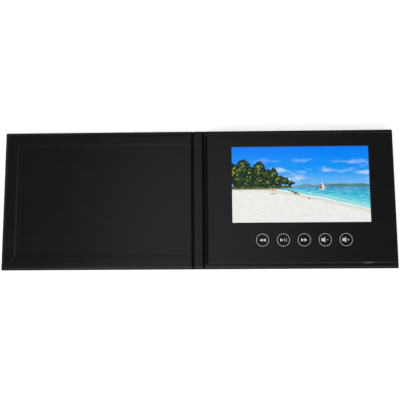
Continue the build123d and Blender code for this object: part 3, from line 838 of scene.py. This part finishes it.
class SheetMesh:
    # gathers points and faces, joining points that fall together
    def __init__(self):
        self.points, self.faces, self.known = [], [], {}

    def point(self, place):
        key = tuple(round(value, 4) for value in place)
        if key not in self.known:
            self.known[key] = len(self.points)
            self.points.append(tuple(place))
        return self.known[key]

    def ring(self, lower, upper, closed=True):
        count = len(lower)
        for step in range(count if closed else count - 1):
            after = (step + 1) % count
            face = [self.point(lower[step]), self.point(lower[after]), self.point(upper[after]),
                    self.point(upper[step])]
            face = [spot for place, spot in enumerate(face) if spot != face[place - 1]]
            if len(set(face)) > 2:
                self.faces.append(tuple(face))

    def fill(self, outline, holes, inner, lift):
        # triangles between an outline and its holes, through the inner points
        flat, edges = [], []
        for loop in [outline] + holes:
            start = len(flat)
            flat += [Vector(point) for point in loop]
            edges += [(start + step, start + (step + 1) % len(loop)) for step in range(len(loop))]
        flat += [Vector(point) for point in inner]
        made, _, triangles, _, _, _ = geometry.delaunay_2d_cdt(flat, edges, [], 0, 1e-5)
        for triangle in triangles:
            centre = sum((made[corner] for corner in triangle), Vector((0, 0))) / 3
            if insideLoop(centre, outline) and not any(insideLoop(centre, hole) for hole in holes):
                self.faces.append(tuple(self.point(lift(made[corner])) for corner in triangle))


def portReach(x):
    places = block["portReach"]
    for (x1, reach1), (x2, reach2) in zip(places, places[1:]):
        if x1 <= x <= x2:
            return reach1 + (reach2 - reach1) * ease((x - x1) / (x2 - x1))
    return 0.0


def portLift(x, y):
    # the wrap stands off the block over the port, behind a soft crease, and rolls down to the edge
    depth, reach = y - blockLow.y, portReach(x)
    if reach <= 0:
        return 0.0
    fade = ease((x - 154) / 12) * ease((218 - x) / 10)
    lifted = block["portLift"] * ease((reach - depth) / 2.4) * (ease(depth / 1.7) - 0.15)
    ridge = block["portCrease"] * math.exp(-((depth - reach) / 0.55) ** 2) * ease(depth / 2.0)
    return fade * lifted * ease((reach - 1) / 4) + fade * ridge


def shapeSkin(point):
    x, y, z = point
    if y < blockLow.y + 12:
        z += portLift(x, max(y, blockLow.y)) * ease((z - (blockHigh.z - 1)) / 1)
    ends = min(y - blockLow.y, blockHigh.y - y)
    if x < blockLow.x + block["edgeRound"] and z > blockHigh.z - block["edgeRound"] - 0.01:
        # the edge beside the spine is folded tighter
        tighter = 1 - (1 - block["leftRound"] / block["edgeRound"]) * ease((ends - 2) / 4)
        x = blockLow.x + (x - blockLow.x) * tighter
        z = blockHigh.z - (blockHigh.z - z) * tighter
    if z > blockHigh.z - 0.01:
        swell = noise.noise(Vector((x / 38, y / 33, 1.7))) + 0.35 * noise.noise(Vector((x / 12, y / 11, 7.3)))
        edge = min(x - blockLow.x, blockHigh.x - x, y - blockLow.y, blockHigh.y - y)
        z += block["waviness"] * 0.5 * (1 + swell) * ease((edge - 2) / 6)
        z -= block["farRoll"] * clamp(1 - (blockHigh.y - y) / 3.2) ** 2
        # the fore edge of the face board shows as a low bead, stronger towards the near end
        bead = block["edgeBead"] * ease((ends - 1) / 4) * (1 - 0.6 * ease((y - blockLow.y - 20) / 60))
        z += bead * math.exp(-((blockHigh.x - x - block["edgeBeadPlace"]) / block["edgeBeadWidth"]) ** 2)
    return x, y, z


def quarter(count):
    return [math.radians(90 * step / count) for step in range(count + 1)]


def buildBlockSkin():
    skin = SheetMesh()
    middle = ((blockLow.x + blockHigh.x) / 2, (blockLow.y + blockHigh.y) / 2)
    halfX, halfY = (blockHigh.x - blockLow.x) / 2, (blockHigh.y - blockLow.y) / 2
    edge, top, base = block["edgeRound"], blockHigh.z, blockLow.z

    def loopAt(inset, z):
        radius = max(block["cornerRound"] - inset, 0.25)
        loop = roundedLoop(halfX - inset, halfY - inset, radius, middle, straights=(190, 60))
        return [(x, y, z) for x, y in loop]

    flat = block["flatInset"]
    rims = [loopAt(flat - 0.3 * step, top) for step in range(9)]
    rims += [loopAt(edge * (1 - math.sin(turn)), top - edge * (1 - math.cos(turn))) for turn in quarter(6)]
    for upper, lower in zip(rims, rims[1:]):
        skin.ring(lower, upper)

    # walls, with the port cut through the near one
    wallTop = rims[-1]
    wallLevels = [top - edge - (top - edge - base) * step / 4 for step in range(5)]
    nearStart = blockLow.x + block["cornerRound"] - 1e-3
    nearEnd = blockHigh.x - block["cornerRound"] + 1e-3
    for upperZ, lowerZ in zip(wallLevels, wallLevels[1:]):
        for first, second in zip(wallTop, wallTop[1:] + wallTop[:1]):
            onNear = all(abs(p[1] - blockLow.y) < 1e-6 and nearStart < p[0] < nearEnd
                         for p in (first, second))
            if not onNear:
                skin.ring([(*first[:2], lowerZ), (*second[:2], lowerZ)],
                          [(*first[:2], upperZ), (*second[:2], upperZ)], closed=False)
    nearRun = sorted({round(p[0], 4) for p in wallTop if abs(p[1] - blockLow.y) < 1e-6})
    outline = [(x, base) for x in nearRun]
    outline += [(nearRun[-1], level) for level in reversed(wallLevels[1:-1])]
    outline += [(x, top - edge) for x in reversed(nearRun)]
    outline += [(nearRun[0], level) for level in wallLevels[1:-1]]
    portHalf = (block["portWidth"] / 2, block["portHeight"] / 2)
    lip = 0.25
    portLoops = [roundedLoop(portHalf[0] + grow, portHalf[1] + grow, block["portCorner"] + grow,
                             block["portMiddle"], straights=(8, 4)) for grow in (0.8, lip)]
    inner = [(x, z) for x in spread(155, 217, 62) for z in spread(base, top - edge, 12)[:-1]
             if not insideLoop((x, z), portLoops[0])]
    skin.fill(outline, [portLoops[0]], inner, lambda p: (p.x, blockLow.y, p.y))
    skin.ring([(x, blockLow.y, z) for x, z in portLoops[1]], [(x, blockLow.y, z) for x, z in portLoops[0]])
    lipRings = []
    for turn in quarter(3):
        grow = lip * (1 - math.sin(turn))
        loop = roundedLoop(portHalf[0] + grow, portHalf[1] + grow, block["portCorner"] + grow,
                           block["portMiddle"], straights=(8, 4))
        lipRings.append([(x, blockLow.y + lip * (1 - math.cos(turn)), z) for x, z in loop])
    for outer, deeper in zip(lipRings, lipRings[1:]):
        skin.ring(deeper, outer)

    # window: the sheet is turned down to the screen's frame
    windowHalf = (block["activeWidth"] / 2 + block["windowMargin"],
                  block["activeDepth"] / 2 + block["windowMargin"])

    def windowLoop(grow, z):
        loop = roundedLoop(windowHalf[0] + grow, windowHalf[1] + grow, block["windowCorner"] + grow,
                           block["screenMiddle"], straights=(40, 24))
        return [(x, y, z) for x, y in loop]

    turnDown = block["windowRound"]
    windowRims = [windowLoop(turnDown + 1.6, top), windowLoop(turnDown + 0.6, top)]
    windowRims += [windowLoop(turnDown * (1 - math.sin(turn)), top - turnDown * (1 - math.cos(turn)))
                   for turn in quarter(5)]
    windowRims.append(windowLoop(0.0, bezelHigh.z))
    for outer, deeper in zip(windowRims, windowRims[1:]):
        skin.ring(outer, deeper)

    # button holes
    holes, holeLoops = [], []
    for name in buttonNames:
        low, high = boxOf("button_" + name)
        centre = ((low.x + high.x) / 2, (low.y + high.y) / 2)

        def circle(radius, z, centre=centre):
            return [(centre[0] + radius * math.cos(math.tau * step / 48),
                     centre[1] + radius * math.sin(math.tau * step / 48), z) for step in range(48)]

        radius, rounding = block["holeRadius"], block["holeRound"]
        rims = [circle(radius + rounding + 1.2, top), circle(radius + rounding + 0.4, top)]
        rims += [circle(radius + rounding * (1 - math.sin(turn)), top - rounding * (1 - math.cos(turn)))
                 for turn in quarter(3)]
        for outer, deeper in zip(rims, rims[1:]):
            skin.ring(outer, deeper)
        holeLoops.append([point[:2] for point in rims[0]])
        holes.append(centre)

    outline = [point[:2] for point in loopAt(flat, top)]
    windowEdge = [point[:2] for point in windowRims[0]]
    grid = [(x, y) for x in spread(blockLow.x + flat, blockHigh.x - flat, 66)[:-1]
            for y in spread(blockLow.y + flat, blockHigh.y - flat, 46)[:-1]]
    grid += [(x, y) for x in spread(152, 219, 96) for y in spread(blockLow.y + 4.3, blockLow.y + 10.3, 15)]
    wide = [roundedLoop(windowHalf[0] + 3.0, windowHalf[1] + 3.0, 2.0, block["screenMiddle"])]
    wide += [[(cx + (x - cx) * 1.12, cy + (y - cy) * 1.12) for x, y in loop]
             for loop, (cx, cy) in zip(holeLoops, holes)]
    inner = [spot for spot in grid if not any(insideLoop(spot, loop) for loop in wide)]
    skin.fill(outline, [windowEdge] + holeLoops, inner, lambda p: (p.x, p.y, top))

    piece = makePiece("blockSkin", [shapeSkin(point) for point in skin.points], skin.faces)
    return piece


blockSkin = buildBlockSkin()
faceOutward(blockSkin)
thicken(blockSkin, block["sheet"])
smoothPiece(blockSkin, 40)
blockSkin.data.materials.append(leatheretteMaterial)
markSurface(blockSkin, blockLow, blockHigh, 1.2)
glintX, glintHalf = block["portGlint"]
# painted shade on the outermost rounding of the block's top edges
markPoints(blockSkin, "paintedShade", lambda x, y, z: clamp((z - blockHigh.z + 2.2) / 0.6)
           * (1 - ease((min(x - blockLow.x, blockHigh.x - x, y - blockLow.y, blockHigh.y - y) - 0.3) / 0.35)))
markPoints(blockSkin, "polish", lambda x, y, z: math.exp(-((x - glintX) / glintHalf) ** 4)
           * math.exp(-((y - blockLow.y - 0.8) / 0.9) ** 2))
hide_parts("block_wrap")
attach(blockSkin, "back_cover_and_block")
print("block skin made:", len(blockSkin.data.polygons), "faces")


screen = {
    "chamfer": 0.2, "layerGap": 0.012,
    "horizon": 0.47, "skyTop": (4, 122, 246), "skyMiddle": (14, 152, 246), "skyLow": (120, 190, 240),
    "cloud": (226, 240, 248), "foam": (250, 253, 252),
    "seaFar": (20, 128, 190), "seaMiddle": (34, 184, 214), "seaNear": (150, 228, 224),
    "wetSand": (206, 205, 184), "sand": (238, 238, 236), "sandShade": (224, 221, 213),
}
activeWidth, activeDepth = block["activeWidth"], block["activeDepth"]
activeLeft = block["screenMiddle"][0] - activeWidth / 2
activeNear = block["screenMiddle"][1] - activeDepth / 2


def light(colour):
    # a colour as a screen shows it, 0 to 255, as the light it gives
    return tuple(((part / 255 + 0.055) / 1.055) ** 2.4 if part > 10 else part / 255 / 12.92
                 for part in colour)


def buildLitGlass(name, paint):
    material, tree, shader = newMaterial(name)
    shader.inputs["Base Color"].default_value = (0.002, 0.002, 0.0022, 1)
    shader.inputs["Specular IOR Level"].default_value = 0.06
    shader.inputs["Emission Strength"].default_value = 1.0
    feed(tree, paint(tree), shader.inputs["Emission Color"])
    smear = placeGroup(tree, softMottle, Place=restPlace(tree), PerMetre=60.0)["Tone"]
    feed(tree, remap(tree, smear, 0.0, 1.0, 0.12, 0.20), shader.inputs["Roughness"])
    return material


def paintShore(tree):
    place = restPlace(tree)
    apart = addNode(tree, "ShaderNodeSeparateXYZ")
    tree.links.new(place, apart.inputs[0])
    across = remap(tree, apart.outputs["X"], activeLeft * mm, (activeLeft + activeWidth) * mm)
    height = remap(tree, apart.outputs["Y"], activeNear * mm, (activeNear + activeDepth) * mm)
    horizon = screen["horizon"]
    # sky: three blues and thin drifting cloud
    sky = mixColours(tree, remap(tree, height, horizon, 0.68),
                     light(screen["skyLow"]), light(screen["skyMiddle"]))
    sky = mixColours(tree, remap(tree, height, 0.68, 1.0), sky, light(screen["skyTop"]))
    drawn = vectorMaths(tree, "MULTIPLY", place, (0.45, 1.5, 1.0))
    cloud = remap(tree, noiseOf(tree, drawn, 75.0, 6.0, 0.58), 0.50, 0.72, smooth=True)
    band = maths(tree, "MULTIPLY", remap(tree, height, horizon, 0.60),
                 remap(tree, height, 0.66, 0.90, 1.0, 0.0))
    cloud = maths(tree, "MULTIPLY", cloud, band)
    sky = mixColours(tree, maths(tree, "MULTIPLY", cloud, 0.85), sky, light(screen["cloud"]))
    # sea: from deep to shallow, with ripples that close up towards the horizon
    ragged = maths(tree, "MULTIPLY_ADD", noiseOf(tree, place, 60.0, 4.0, 0.6), 0.05, -0.025)
    slope = maths(tree, "POWER", remap(tree, across, 0.22, 1.0), 1.25)
    shoreline = maths(tree, "ADD", maths(tree, "MULTIPLY_ADD", slope, -0.29, 0.445), ragged)
    depth = maths(tree, "DIVIDE", maths(tree, "SUBTRACT", height, shoreline),
                  maths(tree, "SUBTRACT", horizon + 0.001, shoreline), clamped=True)
    sea = mixColours(tree, remap(tree, depth, 0.0, 0.45),
                     light(screen["seaNear"]), light(screen["seaMiddle"]))
    sea = mixColours(tree, remap(tree, depth, 0.5, 1.0), sea, light(screen["seaFar"]))
    ripples = noiseOf(tree, vectorMaths(tree, "MULTIPLY", place, (0.25, 1.6, 1.0)), 420.0, 4.0, 0.6)
    sea = mixColours(tree, remap(tree, ripples, 0.42, 0.72, 0.0, 0.45), sea, light((196, 240, 238)))
    # sand: wet at the water, pale and softly trodden above it
    trodden = noiseOf(tree, vectorMaths(tree, "MULTIPLY", place, (0.6, 1.5, 1.0)), 260.0, 5.0, 0.6)
    sand = mixColours(tree, remap(tree, trodden, 0.45, 0.80),
                      light(screen["sand"]), light(screen["sandShade"]))
    below = maths(tree, "SUBTRACT", shoreline, height)
    sand = mixColours(tree, remap(tree, below, 0.0, 0.045, 0.9, 0.0), sand, light(screen["wetSand"]))
    # foam follows the waterline, with a second, broken line behind it
    froth = noiseOf(tree, place, 900.0, 3.0, 0.6)
    wave = remap(tree, maths(tree, "ABSOLUTE", maths(tree, "SUBTRACT", below, -0.008)), 0.0, 0.014, 1.0, 0.0)
    second = remap(tree, maths(tree, "ABSOLUTE", maths(tree, "ADD", below, 0.05)), 0.0, 0.009, 1.0, 0.0)
    second = maths(tree, "MULTIPLY", second, remap(tree, froth, 0.45, 0.62))
    first = maths(tree, "MULTIPLY", wave, remap(tree, froth, 0.3, 0.5, 0.5, 1.0))
    foam = maths(tree, "MAXIMUM", first, second)
    picture = mixColours(tree, maths(tree, "GREATER_THAN", below, 0.0), sea, sand)
    picture = mixColours(tree, foam, picture, light(screen["foam"]))
    return mixColours(tree, remap(tree, height, horizon - 0.002, horizon + 0.002), picture, sky)


def paintScenery(tree):
    paint = marked(tree, "paint", "Color")
    flecks = noiseOf(tree, restPlace(tree), 1800.0, 3.0, 0.6)
    return mixColours(tree, remap(tree, flecks, 0.35, 0.7, 0.35, 0.0), paint, (0.0, 0.0, 0.0))


class Scenery:
    # flat cut-outs lying over the shore in thin layers, each one colour, cropped to the lit area
    def __init__(self):
        self.points, self.faces, self.colours = [], [], []

    def crop(self, outline):
        for axis, limit, sign in ((0, 0.0, 1), (0, activeWidth, -1), (1, 0.0, 1), (1, activeDepth, -1)):
            kept = []
            for start, end in zip(outline, outline[1:] + outline[:1]):
                startIn, endIn = sign * (start[axis] - limit) >= 0, sign * (end[axis] - limit) >= 0
                if startIn:
                    kept.append(start)
                if startIn != endIn:
                    share = (limit - start[axis]) / (end[axis] - start[axis])
                    kept.append(tuple(a + (b - a) * share for a, b in zip(start, end)))
            outline = kept
            if len(outline) < 3:
                return []
        return outline

    def cut(self, outline, colour, layer):
        outline = self.crop([tuple(point) for point in outline])
        area = sum(a[0] * b[1] - b[0] * a[1] for a, b in zip(outline, outline[1:] + outline[:1]))
        if len(outline) < 3 or abs(area) < 1e-3:
            return
        if area < 0:
            outline.reverse()
        start = len(self.points)
        top = glassHigh.z + screen["layerGap"] * layer
        self.points += [(activeLeft + x, activeNear + y, top) for x, y in outline]
        self.faces.append(tuple(range(start, start + len(outline))))
        self.colours += [(*light(colour), 1.0)] * len(outline)


def tinted(colour, amount):
    return tuple(clamp(part * (1 + amount), 0, 255) for part in colour)


def addHills(scenery):
    for layer, colour, base, peak, start, end, seed in (
            (1, (118, 168, 190), 40.2, 6.0, 66, 154.1, 3.1), (2, (86, 142, 146), 40.1, 3.6, 92, 154.1, 8.6)):
        ridge = []
        for step in range(61):
            x = start + (end - start) * step / 60
            fade = ease((x - start) / 22)
            rise = (0.5 + 0.5 * noise.noise(Vector((x / 17, seed, 0)))
                    + 0.12 * noise.noise(Vector((x / 3, seed, 5))))
            ridge.append((x, base + peak * fade * max(0.05, rise)))
        scenery.cut([(start, base)] + ridge + [(end, base)], colour, layer)


treeCrowns = [  # middle across, middle up, half width, half height
    (3, 55, 9, 11), (13, 60, 8, 12), (22, 54, 8, 9), (31, 58, 6.5, 11), (39, 52, 7, 7.5),
    (47, 53.5, 5, 8),
    (53, 48, 5.5, 5), (60, 46.5, 4.5, 4), (66, 44.5, 3.5, 2.6), (8, 46, 8, 7), (19, 45, 8, 6),
    (30, 45.5, 8, 6),
    (41, 44.5, 7, 5), (51, 43.5, 5, 3.2),
]


def addTrees(scenery, chance):
    # trunks, then four layers of leaf clumps, from deep shade to sunlit tips
    for cx, cy, halfX, halfY in treeCrowns[:9]:
        for _ in range(3):
            foot = cx + chance.uniform(-0.5, 0.5) * halfX
            lean = chance.uniform(-1.6, 1.6)
            base = 38.2 + chance.uniform(-0.8, 0.8)
            scenery.cut([(foot - 0.45, base), (foot + 0.45, base),
                         (foot + lean + 0.25, cy), (foot + lean - 0.25, cy)],
                        tinted((112, 92, 66), chance.uniform(-0.3, 0.2)), 3)
    shades = [((14, 30, 12), 1.9, 1.02), ((34, 58, 20), 1.8, 0.93), ((76, 102, 30), 1.7, 0.80),
              ((152, 160, 62), 1.6, 0.66)]
    for layer, (colour, cell, size) in enumerate(shades):
        turn = 0.3 + 0.55 * layer
        for row in range(-60, 61):
            for column in range(-60, 61):
                x0, y0 = column * cell + chance.uniform(-0.2, 0.2), row * cell + chance.uniform(-0.2, 0.2)
                x = 30 + x0 * math.cos(turn) - y0 * math.sin(turn)
                y = 50 + x0 * math.sin(turn) + y0 * math.cos(turn)
                depth, sunny = 9.0, 0.0
                for cx, cy, halfX, halfY in treeCrowns:
                    rough = 1 + 0.22 * noise.noise(Vector((x / 2.2, y / 2.2, layer)))
                    reach = math.hypot((x - cx) / halfX, (y - cy) / halfY) * rough
                    if reach < depth:
                        depth, sunny = reach, 0.5 * (y - cy) / halfY + 0.35 * (cx - x) / halfX
                if depth > size or (layer > 1 and chance.random() > 0.62 - 0.13 * layer + 0.6 * sunny):
                    continue
                clump, start = [], chance.uniform(0, 1)
                radius = cell * (0.66 if layer == 0 else chance.uniform(0.5, 0.85))
                for step in range(12):
                    # tufts of narrow leaves, long and short points in turn, over rounder shade
                    longer, shorter = (1.1, 0.95) if layer == 0 else (chance.uniform(0.85, 1.3), 0.42)
                    reach = radius * (longer if step % 2 else shorter)
                    angle = math.tau * (step + start) / 12
                    clump.append((x + reach * math.cos(angle), y + 0.9 * reach * math.sin(angle)))
                scenery.cut(clump, tinted(colour, 0.30 * sunny + chance.uniform(-0.22, 0.22)), 4 + layer)
    for step in range(46):
        # low scrub and its shade on the sand
        x = step * 1.45
        y = 38.6 + 0.6 * noise.noise(Vector((x / 4, 2, 9))) + 1.2 * ease((x - 45) / 20)
        scenery.cut([(x - 1.5, y - 1.3), (x + 1.6, y - 1.4), (x + 1.2, y + 0.4), (x - 1.1, y + 0.5)],
                    tinted((150, 140, 112), chance.uniform(-0.1, 0.1)), 2)
        bush = [(x + 1.1 * math.cos(math.tau * k / 8) * chance.uniform(0.7, 1.2),
                 y + 0.9 + chance.uniform(0.8, 1.5) * math.sin(math.tau * k / 8)) for k in range(8)]
        scenery.cut(bush, tinted((64, 90, 30), chance.uniform(-0.35, 0.35)), 8)


def addShoreThings(scenery, chance):
    # a small sailing boat, a few rocks at the waterline and a parasol
    scenery.cut([(97, 37.2), (104.5, 37.2), (103.4, 36.1), (98, 36.1)], (236, 240, 238), 3)
    scenery.cut([(101, 37.6), (101, 45.4), (104.6, 38.0)], (250, 250, 246), 3)
    scenery.cut([(100.6, 37.6), (100.6, 44.0), (97.6, 38.0)], (214, 92, 60), 3)
    rocks = ((71, 33.0, 2.4), (74.5, 31.6, 1.5), (67.5, 34.4, 1.8), (86, 26.5, 1.3), (64, 36.0, 1.3))
    rockParts = (((66, 60, 54), 1.0, 0.0), ((140, 132, 118), 0.62, 0.22))
    for x, y, size in rocks:
        for part, (colour, scale, lift) in enumerate(rockParts):
            rock = [(x + size * scale * chance.uniform(0.8, 1.15) * math.cos(math.tau * k / 7),
                     y + size * (lift + 0.6 * scale * chance.uniform(0.8, 1.1) * math.sin(math.tau * k / 7)))
                    for k in range(7)]
            scenery.cut(rock, tinted(colour, chance.uniform(-0.12, 0.12)), 4 + part)
    scenery.cut([(44.7, 32.2), (45.1, 32.2), (45.1, 37.4), (44.7, 37.4)], (120, 96, 70), 9)
    for step in range(6):
        left, right = math.radians(180 - 30 * step), math.radians(150 - 30 * step)
        scenery.cut([(44.9, 36.4), (44.9 + 4.2 * math.cos(left), 36.2 + 2.4 * math.sin(left)),
                     (44.9 + 4.2 * math.cos(right), 36.2 + 2.4 * math.sin(right))],
                    (214, 64, 44) if step % 2 else (244, 236, 220), 10)
    scenery.cut([(41.5, 31.6), (50.0, 31.9), (49.0, 32.7), (42.4, 32.5)], (176, 166, 142), 8)


def buildScreenGlass():
    chance = random.Random(7)
    scenery = Scenery()
    addHills(scenery)
    addTrees(scenery, chance)
    addShoreThings(scenery, chance)
    # the glass itself: chamfered all round, its top split into a black border and the lit area
    chamfer = screen["chamfer"]

    def corners(left, near, right, far, z):
        return [(left, near, z), (right, near, z), (right, far, z), (left, far, z)]

    rings = [corners(glassLow.x + inset, glassLow.y + inset, glassHigh.x - inset, glassHigh.y - inset, z)
             for inset, z in ((chamfer, glassLow.z), (0.0, glassLow.z + chamfer),
                              (0.0, glassHigh.z - chamfer), (chamfer, glassHigh.z))]
    rings.append(corners(activeLeft, activeNear, activeLeft + activeWidth, activeNear + activeDepth,
                         glassHigh.z))
    points = [point for ring in rings for point in ring]
    faces = [(3, 2, 1, 0)]
    for ring in range(len(rings) - 1):
        low, high = 4 * ring, 4 * ring + 4
        faces += [(low + step, low + (step + 1) % 4, high + (step + 1) % 4, high + step) for step in range(4)]
    faces.append((16, 17, 18, 19))
    glassCount, start = len(faces), len(points)
    points += scenery.points
    faces += [tuple(start + corner for corner in face) for face in scenery.faces]
    piece = makePiece("screenGlass", points, faces)
    for material in (buildPartMaterial("blackScreenEdge", partFinishes["chip_plastic"]),
                     buildLitGlass("litShore", paintShore), buildLitGlass("litScenery", paintScenery)):
        piece.data.materials.append(material)
    for place, face in enumerate(piece.data.polygons):
        face.material_index = 2 if place >= glassCount else 1 if place == glassCount - 1 else 0
    paint = piece.data.attributes.new("paint", "FLOAT_COLOR", "POINT")
    colours = [(0.0, 0.0, 0.0, 1.0)] * start + scenery.colours
    paint.data.foreach_set("color", [part for colour in colours for part in colour])
    markSurface(piece, glassLow, glassHigh, 0.3)
    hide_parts("lcd_glass")
    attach(piece, "back_cover_and_block")
    print("screen made:", len(scenery.faces), "cut-outs")


buildScreenGlass()


studio = {
    "floorSize": 6.0, "floorColour": (0.80, 0.80, 0.80),
    "floorGlow": 0.42, "farGlow": 0.95, "farStart": 0.5, "farEnd": 1.6,
    "horizon": 1.0, "horizonStart": 0.24, "horizonEnd": 0.34,
    "wall": 0.8, "ceiling": 0.104, "ceilingStart": 0.52, "ceilingEnd": 0.88,
    "keyPlace": (-0.046, -0.125, 1.0), "keyAim": (-0.046, -0.12, 0.0), "keySize": (0.54, 0.95),
    "keyPower": 3.55, "keyTurn": -9.5,
    "frontPlace": (0.0, -1.15, 0.85), "frontAim": (0.0, -0.07, 0.0), "frontSize": (1.8, 0.7),
    "frontPower": 12.6,
}
view = {"place": (0.01345, -0.0718, 0.59559), "turn": (6.8182, 1.1459, -0.3438), "lens": 47.0}


def buildFloor():
    rim = [(studio["floorSize"] * 1000 * math.cos(math.tau * step / 96),
            studio["floorSize"] * 1000 * math.sin(math.tau * step / 96), -0.1) for step in range(96)]
    floor = makePiece("floor", rim, [tuple(range(96))])
    material, tree, shader = newMaterial("paleFloor")
    tone = placeGroup(tree, softMottle, Place=objectPlace(tree), PerMetre=3.0)["Tone"]
    pale = studio["floorColour"]
    feed(tree, mixColours(tree, tone, pale, tuple(0.99 * part for part in pale)), shader.inputs["Base Color"])
    shader.inputs["Roughness"].default_value = 0.9
    shader.inputs["Specular IOR Level"].default_value = 0.1
    path = addNode(tree, "ShaderNodeLightPath").outputs
    seen = maths(tree, "MAXIMUM", path["Is Camera Ray"], path["Is Glossy Ray"])
    seen = maths(tree, "MAXIMUM", seen, path["Is Transmission Ray"])
    shader.inputs["Emission Color"].default_value = (1, 1, 1, 1)
    # the far floor shows white, while the part near the object keeps its shadow
    reach = addNode(tree, "ShaderNodeVectorMath", operation="LENGTH")
    tree.links.new(objectPlace(tree), reach.inputs[0])
    glow = remap(tree, reach.outputs["Value"], studio["farStart"], studio["farEnd"],
                 studio["floorGlow"], studio["farGlow"], smooth=True)
    feed(tree, maths(tree, "MULTIPLY", seen, glow), shader.inputs["Emission Strength"])
    floor.data.materials.append(material)


def buildWorld():
    # a white horizon, pale walls all round and a dim ceiling
    world = bpy.data.worlds.new("studio")
    world.use_nodes = True
    tree = world.node_tree
    tree.nodes.clear()
    direction = addNode(tree, "ShaderNodeTexCoord").outputs["Generated"]
    upward = addNode(tree, "ShaderNodeSeparateXYZ")
    tree.links.new(direction, upward.inputs[0])
    level = remap(tree, upward.outputs["Z"], studio["ceilingStart"], studio["ceilingEnd"],
                  studio["wall"], studio["ceiling"], smooth=True)
    low = remap(tree, upward.outputs["Z"], studio["horizonStart"], studio["horizonEnd"],
                studio["horizon"] - studio["wall"], 0.0, smooth=True)
    level = maths(tree, "ADD", level, low)
    back = addNode(tree, "ShaderNodeBackground")
    back.inputs["Color"].default_value = (1, 1, 1, 1)
    feed(tree, level, back.inputs["Strength"])
    output = addNode(tree, "ShaderNodeOutputWorld")
    tree.links.new(back.outputs[0], output.inputs[0])
    bpy.context.scene.world = world


def addLamp(name, place, aim, size, power, turn):
    data = bpy.data.lights.new(name, "AREA")
    data.shape = "RECTANGLE"
    data.size, data.size_y = size
    data.energy = power
    lamp = bpy.data.objects.new(name, data)
    lamp.location = place
    facing = (Vector(aim) - Vector(place)).to_track_quat("-Z", "Y").to_matrix()
    lamp.rotation_euler = (facing @ Matrix.Rotation(math.radians(turn), 3, "Z")).to_euler()
    bpy.context.scene.collection.objects.link(lamp)


buildFloor()
buildWorld()
for lampName, turn in (("key", studio["keyTurn"]), ("front", 0.0)):
    addLamp(lampName + "Lamp", *(studio[lampName + word] for word in ("Place", "Aim", "Size", "Power")), turn)

cameraData = bpy.data.cameras.new("camera")
cameraData.lens = view["lens"]
cameraData.clip_start = 0.01
camera = bpy.data.objects.new("camera", cameraData)
camera.location = view["place"]
camera.rotation_euler = [math.radians(angle) for angle in view["turn"]]
bpy.context.scene.collection.objects.link(camera)
bpy.context.scene.camera = camera
bpy.context.scene.view_settings.view_transform = "Standard"
print("studio made")
